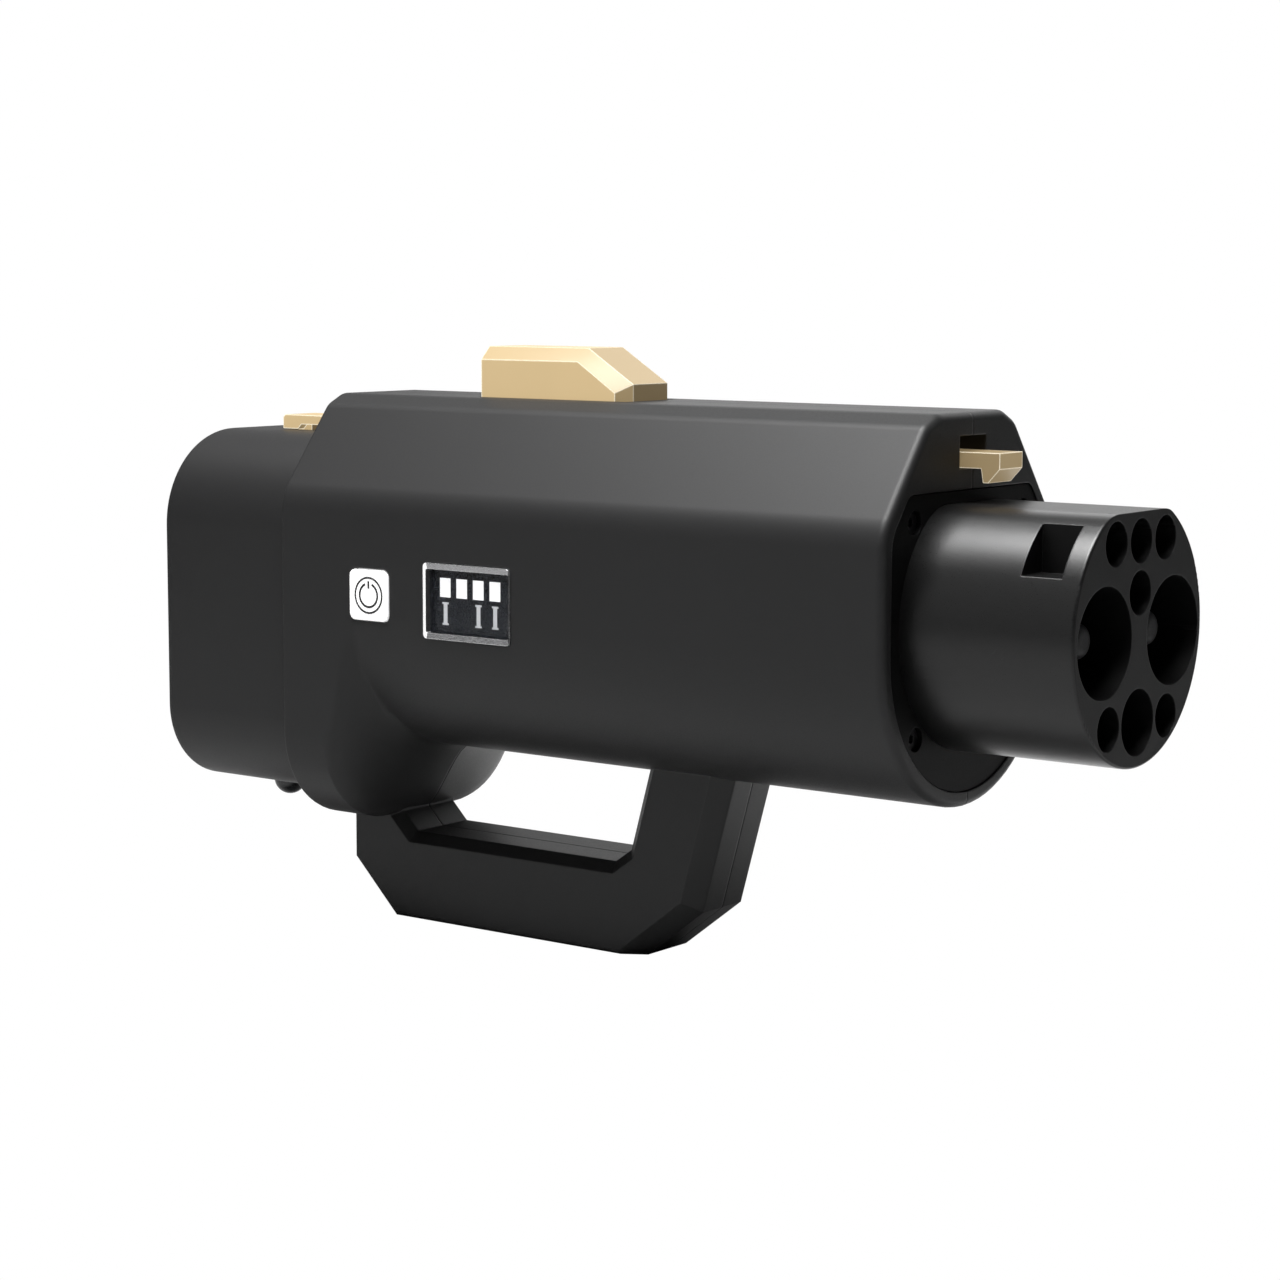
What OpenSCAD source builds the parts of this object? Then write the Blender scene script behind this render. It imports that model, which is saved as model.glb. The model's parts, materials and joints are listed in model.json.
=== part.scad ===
/* [Body] */
// Length of the main body along the plug axis
body_length = 204; // [200:1:215]
// Width of the main body
body_width = 84.6; // [82:0.2:90]
// Height of the flat top above the plug axis
body_top = 53.4; // [52.5:0.1:56]
// Width of the flat strip along the top
top_flat = 32.2; // [30:0.2:34]
// Width where the top chamfer meets the sloped side
shoulder_width = 44.8; // [43:0.2:46]
// Drop of the top chamfer
shoulder_drop = 3; // [2:0.1:4]
// Height where the sloped side meets the upright side
side_top = 24.8; // [22:0.2:27]
// Rounding along both edges of the top chamfer
top_round = 6; // [2:0.5:9]
// Radius of the bend between sloped and upright side
side_bend = 14; // [8:0.5:18]
// Depth below the plug axis of the centre of the round underside
round_centre = 6.8; // [5:0.2:8]
// Wall of the housing
wall = 3; // [2.4:0.1:3.4]
// Fillet around the front face
front_fillet = 2.2; // [1.2:0.2:3]
// Fillet around the rear face
rear_fillet = 1.2; // [0.8:0.1:1.6]
// Width of the open seam between the two housing halves
seam = 0.3; // [0.2:0.05:0.5]

/* [Deep rear section] */
// Depth of the rear section below the plug axis
deep_bottom = 70.5; // [69:0.5:74]
// Corner radius under the rear section
deep_corner = 27; // [22:0.5:30]
// Length of the rear section before the finger scoop
deep_length = 15.9; // [14:0.1:18]
// Length of the scoop along the middle of the underside
scoop_length = 20; // [18:0.5:22]
// Length of the scoop along the upright side
scoop_side = 11; // [9:0.5:13]

/* [Handle] */
// Depth of the handle bottom below the plug axis
handle_bottom = 100.5; // [99:0.5:106]
// Thickness of the handle across
handle_width = 28; // [26:0.5:32]
// Distance from the body front face to the front of the handle at the underside
handle_front = 67.4; // [62:0.2:72]
// Lean of the front leg, length per height
leg_lean = 0.277; // [0.2:0.005:0.35]
// Thickness of the front leg
leg_thick = 27.4; // [24:0.2:30]
// Inset of the handle behind the rear face of the body
handle_rear_inset = 1.6; // [1.2:0.1:3]
// Height of the grip bar
grip_height = 25.7; // [24:0.1:28]
// Size of the slanted lower front corner
front_cut = 14.5; // [12:0.5:16]
// Size of the slanted lower rear corner
rear_cut = 15.9; // [12:0.1:18]
// Bevel along the outer front edges of the handle
handle_bevel = 5; // [3:0.5:6]
// Bevel around the finger opening
opening_bevel = 3; // [2:0.25:4]
// Wall of the hollow handle
handle_wall = 3.2; // [2.6:0.1:3.6]

/* [Plug nose] */
// Diameter of the plug nose
nose_d = 68; // [67.6:0.2:70]
// Length of the nose in front of the body
nose_length = 48.4; // [47:0.2:52]
// Height of the flat on top of the nose
nose_flat = 30.3; // [30:0.1:31]
// Rounding beside the flat on top of the nose
nose_corner = 14; // [8:0.5:18]
// Edge rounding of the nose
nose_round = 0.8; // [0.4:0.1:1.2]
// Diameter of the two power holes
dc_hole_d = 28; // [27:0.2:28.4]
// Half the distance between the power holes
dc_pitch = 18; // [17.8:0.1:18.4]
// Height of the power holes
dc_z = -0.9; // [-1.2:0.1:-0.5]
// Depth of the power holes
dc_depth = 24; // [22:0.5:26]
// Diameter of the finger guard rods in the power holes
guard_d = 9; // [8.4:0.2:9.4]
// Recess of the guard rods behind the nose face
guard_recess = 5.5; // [4:0.5:8]
// Diameter of the small contact holes
small_hole_d = 11.3; // [10.8:0.1:11.5]
// Depth of the small contact holes
small_depth = 12; // [10:0.5:14]
// Diameter of the earth hole
earth_hole_d = 17; // [16.4:0.2:17.4]
// Depth of the earth hole
earth_depth = 16; // [14:0.5:18]
// Depth of the face plate below the body front face
plate_recess = 0.4; // [0.2:0.1:1]
// Thickness of the face plate
plate_thick = 4.4; // [4:0.1:5]
// Rim of the body around the face plate
plate_rim = 4.3; // [4:0.1:5]
// Height of the straight top edge of the face plate
plate_top = 33.4; // [33:0.1:34]
// Corner radius at the top of the face plate
plate_corner = 4; // [2:0.5:6]

/* [Inlet] */
// Length of the inlet shroud behind the body
shroud_length = 51.1; // [50:0.5:56]
// Width of the inlet shroud
shroud_width = 77; // [76:0.2:78]
// Height of the flat top of the shroud
shroud_top = 41.3; // [41:0.1:41.8]
// Depth of the shroud below the plug axis
shroud_bottom = 64.2; // [63.6:0.2:65]
// Wall of the shroud
shroud_wall = 3.2; // [2.8:0.1:3.6]
// Recess of the contact blocks behind the shroud rim
block_recess = 6; // [5:0.5:9]
// Diameter of the upper contact block
upper_block_d = 56; // [54:0.5:57]
// Height of the centre of the upper contact block
upper_block_z = 11; // [10.6:0.1:11.4]
// Radius of the two lower wells' block
lower_block_r = 15; // [14.5:0.1:15.4]
// Depth of the lower block's centre
lower_block_z = -40; // [-41:0.2:-39.6]
// Half the distance between the lower power pins
lower_pitch = 13.5; // [13:0.1:14]
// Diameter of the lower power pins
power_pin_d = 8; // [7.6:0.2:8.2]

/* [Latch] */
// Length of the release button
button_length = 51.3; // [48:0.1:53]
// Width of the release button
button_width = 23; // [22:0.2:24]
// Height of the release button above the body
button_rise = 14.3; // [12:0.1:16]
// Distance from the body front face to the front of the button
button_front = 103; // [101:0.5:106]
// Bevel of the button's edges
button_bevel = 3.7; // [2.5:0.1:4.5]
// Clearance around moving pieces
play = 0.5; // [0.4:0.05:0.6]
// Distance from the body front face back to the lever pin
pivot_back = 76.6; // [74:0.2:79]
// Height of the lever pin
pivot_z = 45; // [44.6:0.1:45.2]
// Diameter of the lever pin
lever_pin_d = 4; // [3:0.2:4.4]
// Width of the hook
hook_width = 11.4; // [10:0.2:12]
// Height of the hook's top
hook_top = 43.4; // [43:0.1:43.5]
// Thickness of the hook's stem
hook_thick = 4.1; // [3.6:0.1:4.3]
// Reach of the hook in front of the body
hook_reach = 11.2; // [10:0.1:13]

/* [Lock tongue] */
// Length of the tongue behind the body
tongue_reach = 32.6; // [31:0.2:34]
// Width of the tongue
tongue_width = 13; // [12:0.2:13.6]
// Thickness of the tongue's tip
tongue_thick = 4.2; // [3.8:0.1:4.4]

/* [Button and display] */
// Side of the square power button
key_size = 14.3; // [13.5:0.1:15]
// Distance from the body rear face to the centre of the power button
key_back = 34.2; // [33.6:0.2:35]
// Height of the centre of power button and display
panel_z = -1.7; // [-2.2:0.1:-1]
// Travel of the power button
key_travel = 0.8; // [0.6:0.1:1]
// Width of the display
display_width = 30.8; // [29:0.2:32]
// Height of the display
display_height = 21.1; // [20:0.1:22]
// Distance from the body rear face to the centre of the display
display_back = 69.8; // [69:0.2:71]

/* [Hidden] */
$fn = 64;
eps = 0.01;
gap = 0.3;

// Main planes, measured from the centre of the nose face
front_x = -nose_length;
rear_x = front_x - body_length;
half_w = body_width / 2;
rim_x = rear_x - shroud_length;
plate_x = front_x - plate_recess;
plate_back = plate_x - plate_thick;
gasket_thick = 0.8;
ledge_x = plate_back - gasket_thick;
ledge_thick = 3;
cavity_front = ledge_x - ledge_thick;
cavity_rear = rear_x + wall;
deep_front = rear_x + deep_length;

// Upper outline of the body, from the middle of the top down the side
top_path = [[0, body_top], [top_flat / 2, body_top],
    [shoulder_width / 2, body_top - shoulder_drop], [half_w, side_top], [half_w, -round_centre]];

function unit(v) = v / norm(v);
function inward(p, q) = let (d = unit(q - p)) [d[1], -d[0]];
function cross2(a, b) = a[0] * b[1] - a[1] * b[0];
function meet(p, d, q, e) = p + d * (cross2(q - p, e) / cross2(d, e));
// Corner i of a path whose two edges move inwards by their own amounts
function moved_corner(a, b, c, in_ab, in_bc) =
    meet(b + inward(a, b) * in_ab, b - a, b + inward(b, c) * in_bc, c - b);
function inset_path(p, d) = let (n = len(p)) concat(
    [p[0] + inward(p[0], p[1]) * d],
    [for (i = [1 : n - 2]) moved_corner(p[i - 1], p[i], p[i + 1], d, d)],
    [p[n - 1] + inward(p[n - 2], p[n - 1]) * d]);
function inset_ring(p, d) = let (n = len(p))
    [for (i = [0 : n - 1]) moved_corner(p[(i + n - 1) % n], p[i], p[(i + 1) % n], d, d)];
// Points of a fillet at corner b
function corner_arc(a, b, c, r, steps) = let (
    u = unit(a - b),
    v = unit(c - b),
    half = acos(u * v) / 2,
    centre = b + unit(u + v) * (r / sin(half)),
    t1 = b + u * (r / tan(half)),
    t2 = b + v * (r / tan(half)),
    a1 = atan2(t1[1] - centre[1], t1[0] - centre[0]),
    turn = atan2(t2[1] - centre[1], t2[0] - centre[0]) - a1,
    sweep = turn > 180 ? turn - 360 : turn < -180 ? turn + 360 : turn)
    [for (i = [0 : steps]) centre + r * [cos(a1 + sweep * i / steps), sin(a1 + sweep * i / steps)]];
function upper_half(d) = let (p = inset_path(top_path, d)) concat(
    [p[0]],
    corner_arc(p[0], p[1], p[2], top_round, 3),
    corner_arc(p[1], p[2], p[3], top_round, 3),
    corner_arc(p[2], p[3], p[4], side_bend - d, 6));
// Outline of the face plate, cut straight across at the top
function plate_half(d) = let (
    p = inset_path(top_path, plate_rim + d),
    top = [0, plate_top - d],
    corner = meet(top, [1, 0], p[2], p[3] - p[2])) concat(
    [top],
    corner_arc(top, corner, p[3], plate_corner, 4),
    corner_arc(corner, p[3], p[4], max(0.5, side_bend - plate_rim - d), 6));
function mirrored(p) = [for (i = [len(p) - 1 : -1 : 0]) [-p[i][0], p[i][1]]];

// Lower outline in steps, of the front tube and of the deep rear section
arc_steps = 18;
corner_steps = 14;
deep_z = -(deep_bottom - deep_corner);
function tube_point(k, d) = [0, -round_centre]
    + (half_w - d) * [cos(90 * k / arc_steps), -sin(90 * k / arc_steps)];
function deep_point(k, d) = k <= corner_steps
    ? [half_w - deep_corner, deep_z]
        + (deep_corner - d) * [cos(90 * k / corner_steps), -sin(90 * k / corner_steps)]
    : [(half_w - deep_corner) * (arc_steps - k) / (arc_steps - corner_steps), -deep_bottom + d];
function eased(t) = let (c = min(1, max(0, t))) c * c * (3 - 2 * c);
function scoop_at(k) = scoop_side + (scoop_length - scoop_side) * k / arc_steps;
function blend_at(x, k) = eased((x - deep_front) / scoop_at(k));
function lower_half(x, d) = [for (k = [0 : arc_steps])
    let (s = blend_at(x, k)) deep_point(k, d) * (1 - s) + tube_point(k, d) * s];
function half_ring(x, d) = [for (p = concat(upper_half(d), lower_half(x, d)))
    [x, max(p[0], seam / 2), p[1]]];
function fillet_rings(x, into, r, steps) = [for (i = [0 : steps])
    [x + into * r * (1 - sin(90 * i / steps)), r * (1 - cos(90 * i / steps))]];
scoop_steps = 9;
stations = concat(
    [for (i = [3 : -1 : 0]) fillet_rings(rear_x, 1, rear_fillet, 3)[i]],
    [for (i = [0 : scoop_steps]) [deep_front + scoop_length * i / scoop_steps, 0]],
    fillet_rings(front_x, -1, front_fillet, 5));

// Solid through rings of points, closed by a fan about a middle point at each end
module loft(rings, middle) {
    n = len(rings[0]);
    m = len(rings);
    ends = [for (r = [rings[0], rings[m - 1]]) [r[0][0], middle[0], middle[1]]];
    sides = [for (j = [0 : m - 2]) for (i = [0 : n - 1])
        [j * n + i, j * n + (i + 1) % n, (j + 1) * n + (i + 1) % n, (j + 1) * n + i]];
    caps = [for (i = [0 : n - 1]) each [[(i + 1) % n, i, m * n],
        [(m - 1) * n + i, (m - 1) * n + (i + 1) % n, m * n + 1]]];
    polyhedron(concat([for (r = rings) each r], ends), concat(sides, caps), convexity = 6);
}
module along_x(x0, x1) {
    translate([x0, 0, 0]) rotate([90, 0, 90]) linear_extrude(x1 - x0) children();
}
module along_y(y0, y1) {
    translate([0, y1, 0]) rotate([90, 0, 0]) linear_extrude(y1 - y0) children();
}
module rod_x(x0, x1, y, z, r) {
    translate([x0, y, z]) rotate([0, 90, 0]) cylinder(h = x1 - x0, r = r);
}
module rod_y(x, z, y0, y1, r) {
    translate([x, y0, z]) rotate([-90, 0, 0]) cylinder(h = y1 - y0, r = r);
}
module rod_between(p, q, r) {
    v = q - p;
    translate(p) rotate([0, acos(v[2] / norm(v)), atan2(v[1], v[0])]) cylinder(h = norm(v), r = r, $fn = 24);
}
module rounded_square(w, h, r) {
    difference() {
        square([w, h], center = true);
        for (sx = [-1, 1], sy = [-1, 1]) translate([sx * (w / 2 - r), sy * (h / 2 - r)]) difference() {
            translate([sx > 0 ? 0 : -r - 1, sy > 0 ? 0 : -r - 1]) square(r + 1);
            circle(r);
        }
    }
}
module mirror_y() {
    children();
    mirror([0, 1, 0]) children();
}

module body_section(d) {
    upper = upper_half(d);
    polygon(concat(upper, [[half_w - d, -round_centre], [-half_w + d, -round_centre]], mirrored(upper)));
    translate([0, -round_centre]) circle(half_w - d, $fn = 128);
}
module deep_section(d) {
    body_section(d);
    translate([-half_w + d, deep_z]) square([2 * (half_w - d), -round_centre - deep_z]);
    for (s = [-1, 1]) translate([s * (half_w - deep_corner), deep_z]) circle(deep_corner - d);
    translate([-half_w + deep_corner, -deep_bottom + d])
        square([2 * (half_w - deep_corner), deep_corner]);
}
module plate_section(d) {
    upper = plate_half(d);
    half = half_w - plate_rim - d;
    low = -round_centre - 2 * half;
    difference() {
        polygon(concat(upper, [[half, low], [-half, low]], mirrored(upper)));
        difference() {
            translate([-half - 1, low - 1]) square([2 * half + 2, 2 * half + 1]);
            translate([0, -round_centre]) circle(half, $fn = 128);
        }
    }
}

// Handle outline in length and height, seen from the side
under_z = -round_centre - half_w;
leg_top = -41;
handle_front_x = front_x - handle_front;
handle_rear_x = rear_x + handle_rear_inset;
cut_lean = 1.3;
function leg_x(z) = handle_front_x + (z - under_z) * leg_lean;
low_front_z = -handle_bottom + front_cut;
handle_outline = [
    [leg_x(leg_top), leg_top],
    [leg_x(low_front_z), low_front_z],
    [leg_x(low_front_z) - front_cut * cut_lean, -handle_bottom],
    [handle_rear_x + rear_cut, -handle_bottom],
    [handle_rear_x, -handle_bottom + rear_cut],
    [handle_rear_x, leg_top]];
function bevelled_outline(front, low, bottom, back) = let (o = handle_outline) [
    moved_corner(o[5], o[0], o[1], 0, front),
    moved_corner(o[0], o[1], o[2], front, low),
    moved_corner(o[1], o[2], o[3], low, bottom),
    moved_corner(o[2], o[3], o[4], bottom, back),
    moved_corner(o[3], o[4], o[5], back, back),
    moved_corner(o[4], o[5], o[0], back, 0)];
floor_z = -handle_bottom + grip_height;
opening_cut = 5.4;
opening_rear_x = deep_front + 3.2;
function inner_leg_x(z) = leg_x(z) - leg_thick;
opening_outline = [
    [inner_leg_x(leg_top), leg_top],
    [inner_leg_x(floor_z + 3.8), floor_z + 3.8],
    [inner_leg_x(floor_z + 3.8) - opening_cut, floor_z],
    [opening_rear_x + opening_cut, floor_z],
    [opening_rear_x, floor_z + opening_cut],
    [opening_rear_x, leg_top]];
half_h = handle_width / 2;
edge_break = 1;
module handle_half() {
    hull() {
        along_y(seam / 2, half_h - handle_bevel) polygon(handle_outline);
        along_y(seam / 2, half_h - edge_break)
            polygon(bevelled_outline(handle_bevel - edge_break, handle_bevel - edge_break, 0, 0));
        along_y(seam / 2, half_h)
            polygon(bevelled_outline(handle_bevel, handle_bevel, edge_break, edge_break));
    }
}
module opening_flare() {
    hull() {
        along_y(half_h - opening_bevel, half_h - opening_bevel + eps) polygon(opening_outline);
        along_y(half_h + 1, half_h + 1 + eps) polygon(inset_ring(opening_outline, -opening_bevel - 1));
    }
}
module handle_cavity() {
    along_y(-half_h + handle_wall, half_h - handle_wall) difference() {
        polygon(inset_ring(handle_outline, handle_wall));
        polygon(inset_ring(opening_outline, -handle_wall));
        translate([rear_x, under_z - handle_wall]) square([body_length, body_top]);
        translate([rear_x, -deep_bottom - 1]) square([body_length / 4, body_top]);
    }
}

// Release lever and its opening
pivot_x = front_x - pivot_back;
button_front_x = front_x - button_front;
button_rear_x = button_front_x - button_length;
button_top = body_top + button_rise;
button_nose = 4.6;
button_slope = 15.6;
module button_hole() {
    translate([button_rear_x - play - 0.4, -button_width / 2 - play, hook_top])
        cube([button_length + 2 * play + 0.4, button_width + 2 * play, button_rise + 10]);
}
slot_half = hook_width / 2 + play + 0.4;
slot_bottom = hook_top - hook_thick - 0.4;
slot_top = hook_top + 4;
module hook_slot() {
    translate([cavity_front - 1, -slot_half, slot_bottom])
        cube([front_x - cavity_front + 2, 2 * slot_half, slot_top - slot_bottom]);
}

// Lock tongue, hinged inside the top of the rear wall
tongue_pivot_x = rear_x + 14.4;
tongue_pivot_z = shroud_top + 4.7;
tongue_pin_d = 3;
tongue_low = shroud_top + gap;
tongue_top = tongue_low + tongue_thick;
tongue_window_top = tongue_top + 3.2;
hub_half = 4;
tongue_tip_x = rear_x - tongue_reach;
tooth_x = rear_x - 25.9;
tooth_length = 5.5;
tooth_half = 4;
pad_length = 6;
pad_drop = 1.4;
module tongue_window(x0, x1) {
    translate([x0, -tongue_width / 2 - play - gap, shroud_top])
        cube([x1 - x0, tongue_width + 2 * (play + gap), tongue_window_top - shroud_top]);
}

// Inlet shroud outline
shroud_top_corner = 28;
shroud_low_corner = 23.7;
module shroud_corners(d) {
    half = shroud_width / 2;
    for (s = [-1, 1]) {
        translate([s * (half - shroud_top_corner), shroud_top - shroud_top_corner])
            circle(shroud_top_corner - d);
        translate([s * (half - shroud_low_corner), -shroud_bottom + shroud_low_corner])
            circle(shroud_low_corner - d);
    }
}
module shroud_section(d) {
    half = shroud_width / 2;
    shroud_corners(d);
    translate([-half + d, -shroud_bottom + shroud_low_corner])
        square([2 * (half - d), shroud_bottom - shroud_low_corner + shroud_top - shroud_top_corner]);
    translate([-half + shroud_low_corner, -shroud_bottom + d])
        square([2 * (half - shroud_low_corner), shroud_bottom]);
    translate([-half + shroud_top_corner, 0]) square([2 * (half - shroud_top_corner), shroud_top - d]);
}

// Screws that join the two halves: length, height, and how deep the head sits
head_r = 3;
screw_r = 1.7;
pilot_r = 1.4;
boss_r = 4.2;
shell_screw_spots = [
    [front_x - 27, 34, 20],
    [front_x - 47, -41, 20],
    [pivot_x - 25, 33, 20],
    [rear_x + 24, 33, 20],
    [leg_x(-62) - leg_thick / 2, -62, half_h / 2],
    [handle_rear_x + 10, -handle_bottom + 15, half_h / 2]];
screw_reach = 10;
module left_bosses() {
    for (s = shell_screw_spots) rod_y(s[0], s[1], seam / 2, half_w, boss_r);
}
module right_bosses() {
    for (s = shell_screw_spots) rod_y(s[0], s[1], seam / 2, half_w, boss_r - 1);
}
// Lip of the right half that reaches behind the edge of the left half
module lip(x1, x0, z, up) {
    reach = 1.6;
    translate([x0, 0, z]) rotate([90, 0, 90]) linear_extrude(x1 - x0) polygon([
        [-reach - 1, -up],
        [-seam, -up],
        [-seam, up * 0.1],
        [reach, up * 0.1],
        [reach, up * reach],
        [-reach - 1, up * reach]]);
}

// Panel pieces on the right side of the housing
key_x = rear_x + key_back;
display_x = rear_x + display_back;
board_y = -half_w + 7.8;
board_thick = 1.6;
board_spots = [
    [key_x - 12, panel_z],
    [(key_x + display_x) / 2 - 2.8, panel_z + 8.7],
    [(key_x + display_x) / 2 - 2.8, panel_z - 8.3],
    [display_x + 20.2, panel_z]];

plate_screw_r = nose_d / 2 + head_r + 1;
plate_screw_top = plate_screw_r * [cos(44.4), sin(44.4)];
plate_screw_low = plate_screw_r * [cos(48.2), -sin(48.2)];
plate_screws = [plate_screw_top, plate_screw_low];
module plate_bosses() {
    for (p = plate_screws) {
        rod_x(cavity_front - 9, ledge_x, p[0], p[1], 4);
        translate([cavity_front - 9, p[0], p[1] - 1.2]) cube([8 + ledge_thick, half_w - p[0], 2.4]);
    }
}

// Ribs that carry the inner frame, and ledges that hold the shroud flange
frame_z = 0;
frame_front = front_x - 44;
frame_rear = rear_x + 27;
flange_front = cavity_rear + 3;
module frame_ribs(x0) {
    translate([x0, half_w - wall - 5.3, frame_z - 3]) cube([frame_front - x0, 5.8, 3]);
}
module flange_ledges() {
    for (z = [-32, 14]) translate([flange_front + gap, half_w - wall - 3, z]) cube([2.4, 3.5, 12]);
}

module cavities() {
    along_x(cavity_rear, cavity_front) body_section(wall);
    along_x(cavity_rear, deep_front - 2) deep_section(wall);
    handle_cavity();
    along_x(cavity_front - 1, ledge_x) plate_section(4);
    along_x(ledge_x, front_x + 1) plate_section(-gap);
    along_x(rear_x - 1, cavity_rear + 1) shroud_section(-gap);
}
// Half of the housing on the side of positive y
module half_shell() {
    difference() {
        union() {
            loft([for (s = stations) half_ring(s[0], s[1])], [half_w / 2, 0]);
            difference() {
                handle_half();
                along_y(-1, half_h + 1) polygon(opening_outline);
                opening_flare();
            }
        }
        cavities();
        button_hole();
        hook_slot();
        tongue_window(rear_x - 1, cavity_rear + 1);
    }
}
// Space for a boss: everything inside the outer surface
module within_outline() {
    intersection() {
        union() {
            along_x(cavity_rear - 1, cavity_front + eps) body_section(wall / 2);
            along_x(cavity_front, ledge_x) plate_section(1);
            along_y(-half_h + 1, half_h - 1) polygon(inset_ring(handle_outline, handle_wall / 2));
        }
        children();
    }
}
lever_boss_r = 4.5;
module pin_bosses() {
    rod_y(pivot_x, pivot_z, 6, half_w, lever_boss_r);
    rod_y(tongue_pivot_x, tongue_pivot_z, 8.2, half_w, 3.8);
}
module pin_holes() {
    rod_y(pivot_x, pivot_z, -14, 14, lever_pin_d / 2 + 0.02);
    rod_y(tongue_pivot_x, tongue_pivot_z, -14, 14, tongue_pin_d / 2 + 0.02);
}

module housing_left() {
    color([0.13, 0.13, 0.135]) difference() {
        union() {
            half_shell();
            within_outline() {
                left_bosses();
                pin_bosses();
                frame_ribs(frame_rear);
                plate_bosses();
            }
            flange_ledges();
        }
        for (s = shell_screw_spots) {
            rod_y(s[0], s[1], -1, half_w + 1, screw_r);
            rod_y(s[0], s[1], s[2], half_w + 10, head_r + 0.2);
        }
        pin_holes();
        plate_screw_holes();
    }
}
module plate_screw_holes() {
    for (p = plate_screws, s = [-1, 1]) rod_x(cavity_front - 10, ledge_x + 1, s * p[0], p[1], pilot_r);
}
module housing_right() {
    color([0.13, 0.13, 0.135]) difference() {
        union() {
            mirror([0, 1, 0]) {
                half_shell();
                within_outline() {
                    right_bosses();
                    pin_bosses();
                    frame_ribs(display_x + display_width);
                    plate_bosses();
                }
                flange_ledges();
            }
            lip(cavity_front, button_front_x + 2, body_top - wall, -1);
            lip(cavity_front, deep_front + scoop_length, under_z + wall, 1);
            lip(deep_front - 3, flange_front + 1, -deep_bottom + wall, 1);
            lip(leg_x(low_front_z) - front_cut * cut_lean - 3, handle_rear_x + rear_cut + 3,
                -handle_bottom + handle_wall, 1);
            for (b = board_spots) rod_y(b[0], b[1], -half_w + wall / 2, board_y, 2.5);
        }
        for (s = shell_screw_spots) rod_y(s[0], s[1], -screw_reach - 3, 1, pilot_r);
        for (b = board_spots) rod_y(b[0], b[1], board_y - 5, board_y + 1, 0.8);
        pin_holes();
        plate_screw_holes();
        translate([0, -half_w - 1, 0]) panel_windows();
    }
}
module panel_windows() {
    translate([key_x, 0, panel_z]) along_y(0, wall + 2)
        rounded_square(key_size + 2 * gap, key_size + 2 * gap, 2.3);
    translate([display_x, 0, panel_z]) along_y(0, wall + 2)
        rounded_square(display_width + gap, display_height + gap, 1.4);
    translate([display_x, 0, panel_z]) along_y(wall + 0.9, wall + 5)
        rounded_square(display_width + 3 + 2 * gap, display_height + 3 + 2 * gap, 1.4);
}
module shell_screws() {
    color([0.35, 0.35, 0.36]) for (s = shell_screw_spots) difference() {
        union() {
            rod_y(s[0], s[1], -screw_reach, s[2], pilot_r);
            rod_y(s[0], s[1], s[2], s[2] + 2.4, head_r);
        }
        rod_y(s[0], s[1], s[2] + 1, s[2] + 3, 1.3, $fn = 6);
    }
}

// Contact places on the nose face: across, height
signal_spots = [[-13, 23], [0, 23], [13, 23], [0, 10.1], [-15.3, -22.4], [15.3, -22.4]];
earth_spot = [0, -22.4];
block_back = cavity_front - 13;
spigot_r = nose_d / 2 - 3.5;
spigot_flat = plate_top - 5;
sleeve_r = 8;
earth_sleeve_r = 5;
signal_sleeve_r = 2.5;
fit = 0.02;
pocket_z = 15.6;
pocket_y = 19.7;
pocket_length = 11.2;
pocket_front = 5.5;
module plug_nose() {
    color([0.12, 0.12, 0.125]) difference() {
        union() {
            intersection() {
                rotate([0, 90, 0]) rotate_extrude($fn = 128) nose_profile();
                along_x(plate_back - 1, 1) below_flat(0);
            }
            along_x(block_back, plate_back + eps) spigot_section(spigot_r, spigot_flat);
        }
        for (s = [-1, 1]) {
            rod_x(-dc_depth, 1, s * dc_pitch, dc_z, dc_hole_d / 2);
            rod_x(block_back - 1, 1 - dc_depth, s * dc_pitch, dc_z, sleeve_r + fit);
        }
        for (p = signal_spots) {
            rod_x(-small_depth, 1, p[0], p[1], small_hole_d / 2);
            rod_x(block_back - 1, 1 - small_depth, p[0], p[1], signal_sleeve_r + fit);
        }
        rod_x(-earth_depth, 1, earth_spot[0], earth_spot[1], earth_hole_d / 2);
        rod_x(block_back - 1, 1 - earth_depth, earth_spot[0], earth_spot[1], earth_sleeve_r + fit);
        translate([-pocket_front - pocket_length, -nose_d, pocket_z])
            cube([pocket_length, nose_d - pocket_y, nose_d]);
    }
}
// Everything below the flat on top of the nose, with a wide rounding towards the round part
module below_flat(d) {
    r = nose_d / 2 + d;
    top = nose_flat + d;
    c = nose_corner + d;
    across = sqrt((r - c) * (r - c) - (top - c) * (top - c));
    start = (top - c) * r / (r - c);
    difference() {
        translate([-r - 1, -r - 1]) square([2 * r + 2, r + top + 1]);
        for (s = [-1, 1]) difference() {
            translate([s > 0 ? across : -across - r, start]) square(r);
            translate([s * across, top - c]) circle(c, $fn = 128);
        }
    }
}
module spigot_section(r, top) {
    difference() {
        circle(r);
        translate([-r, top]) square(2 * r);
    }
}
module nose_profile() {
    difference() {
        translate([0, plate_back]) square([nose_d / 2, -plate_back]);
        translate([nose_d / 2 - nose_round, -nose_round]) difference() {
            square(nose_round + 1);
            circle(nose_round);
        }
    }
}
module face_plate() {
    color([0.12, 0.12, 0.125]) difference() {
        along_x(plate_back, plate_x) plate_section(0);
        intersection() {
            rod_x(plate_back - 1, plate_x + 1, 0, 0, nose_d / 2 + fit, $fn = 128);
            along_x(plate_back - 2, plate_x + 2) below_flat(fit);
        }
        for (p = plate_screws, s = [-1, 1]) {
            rod_x(plate_back - 1, plate_x + 1, s * p[0], p[1], screw_r);
            rod_x(plate_back + 1, plate_x + 1, s * p[0], p[1], head_r + 0.2);
        }
    }
}
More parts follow.
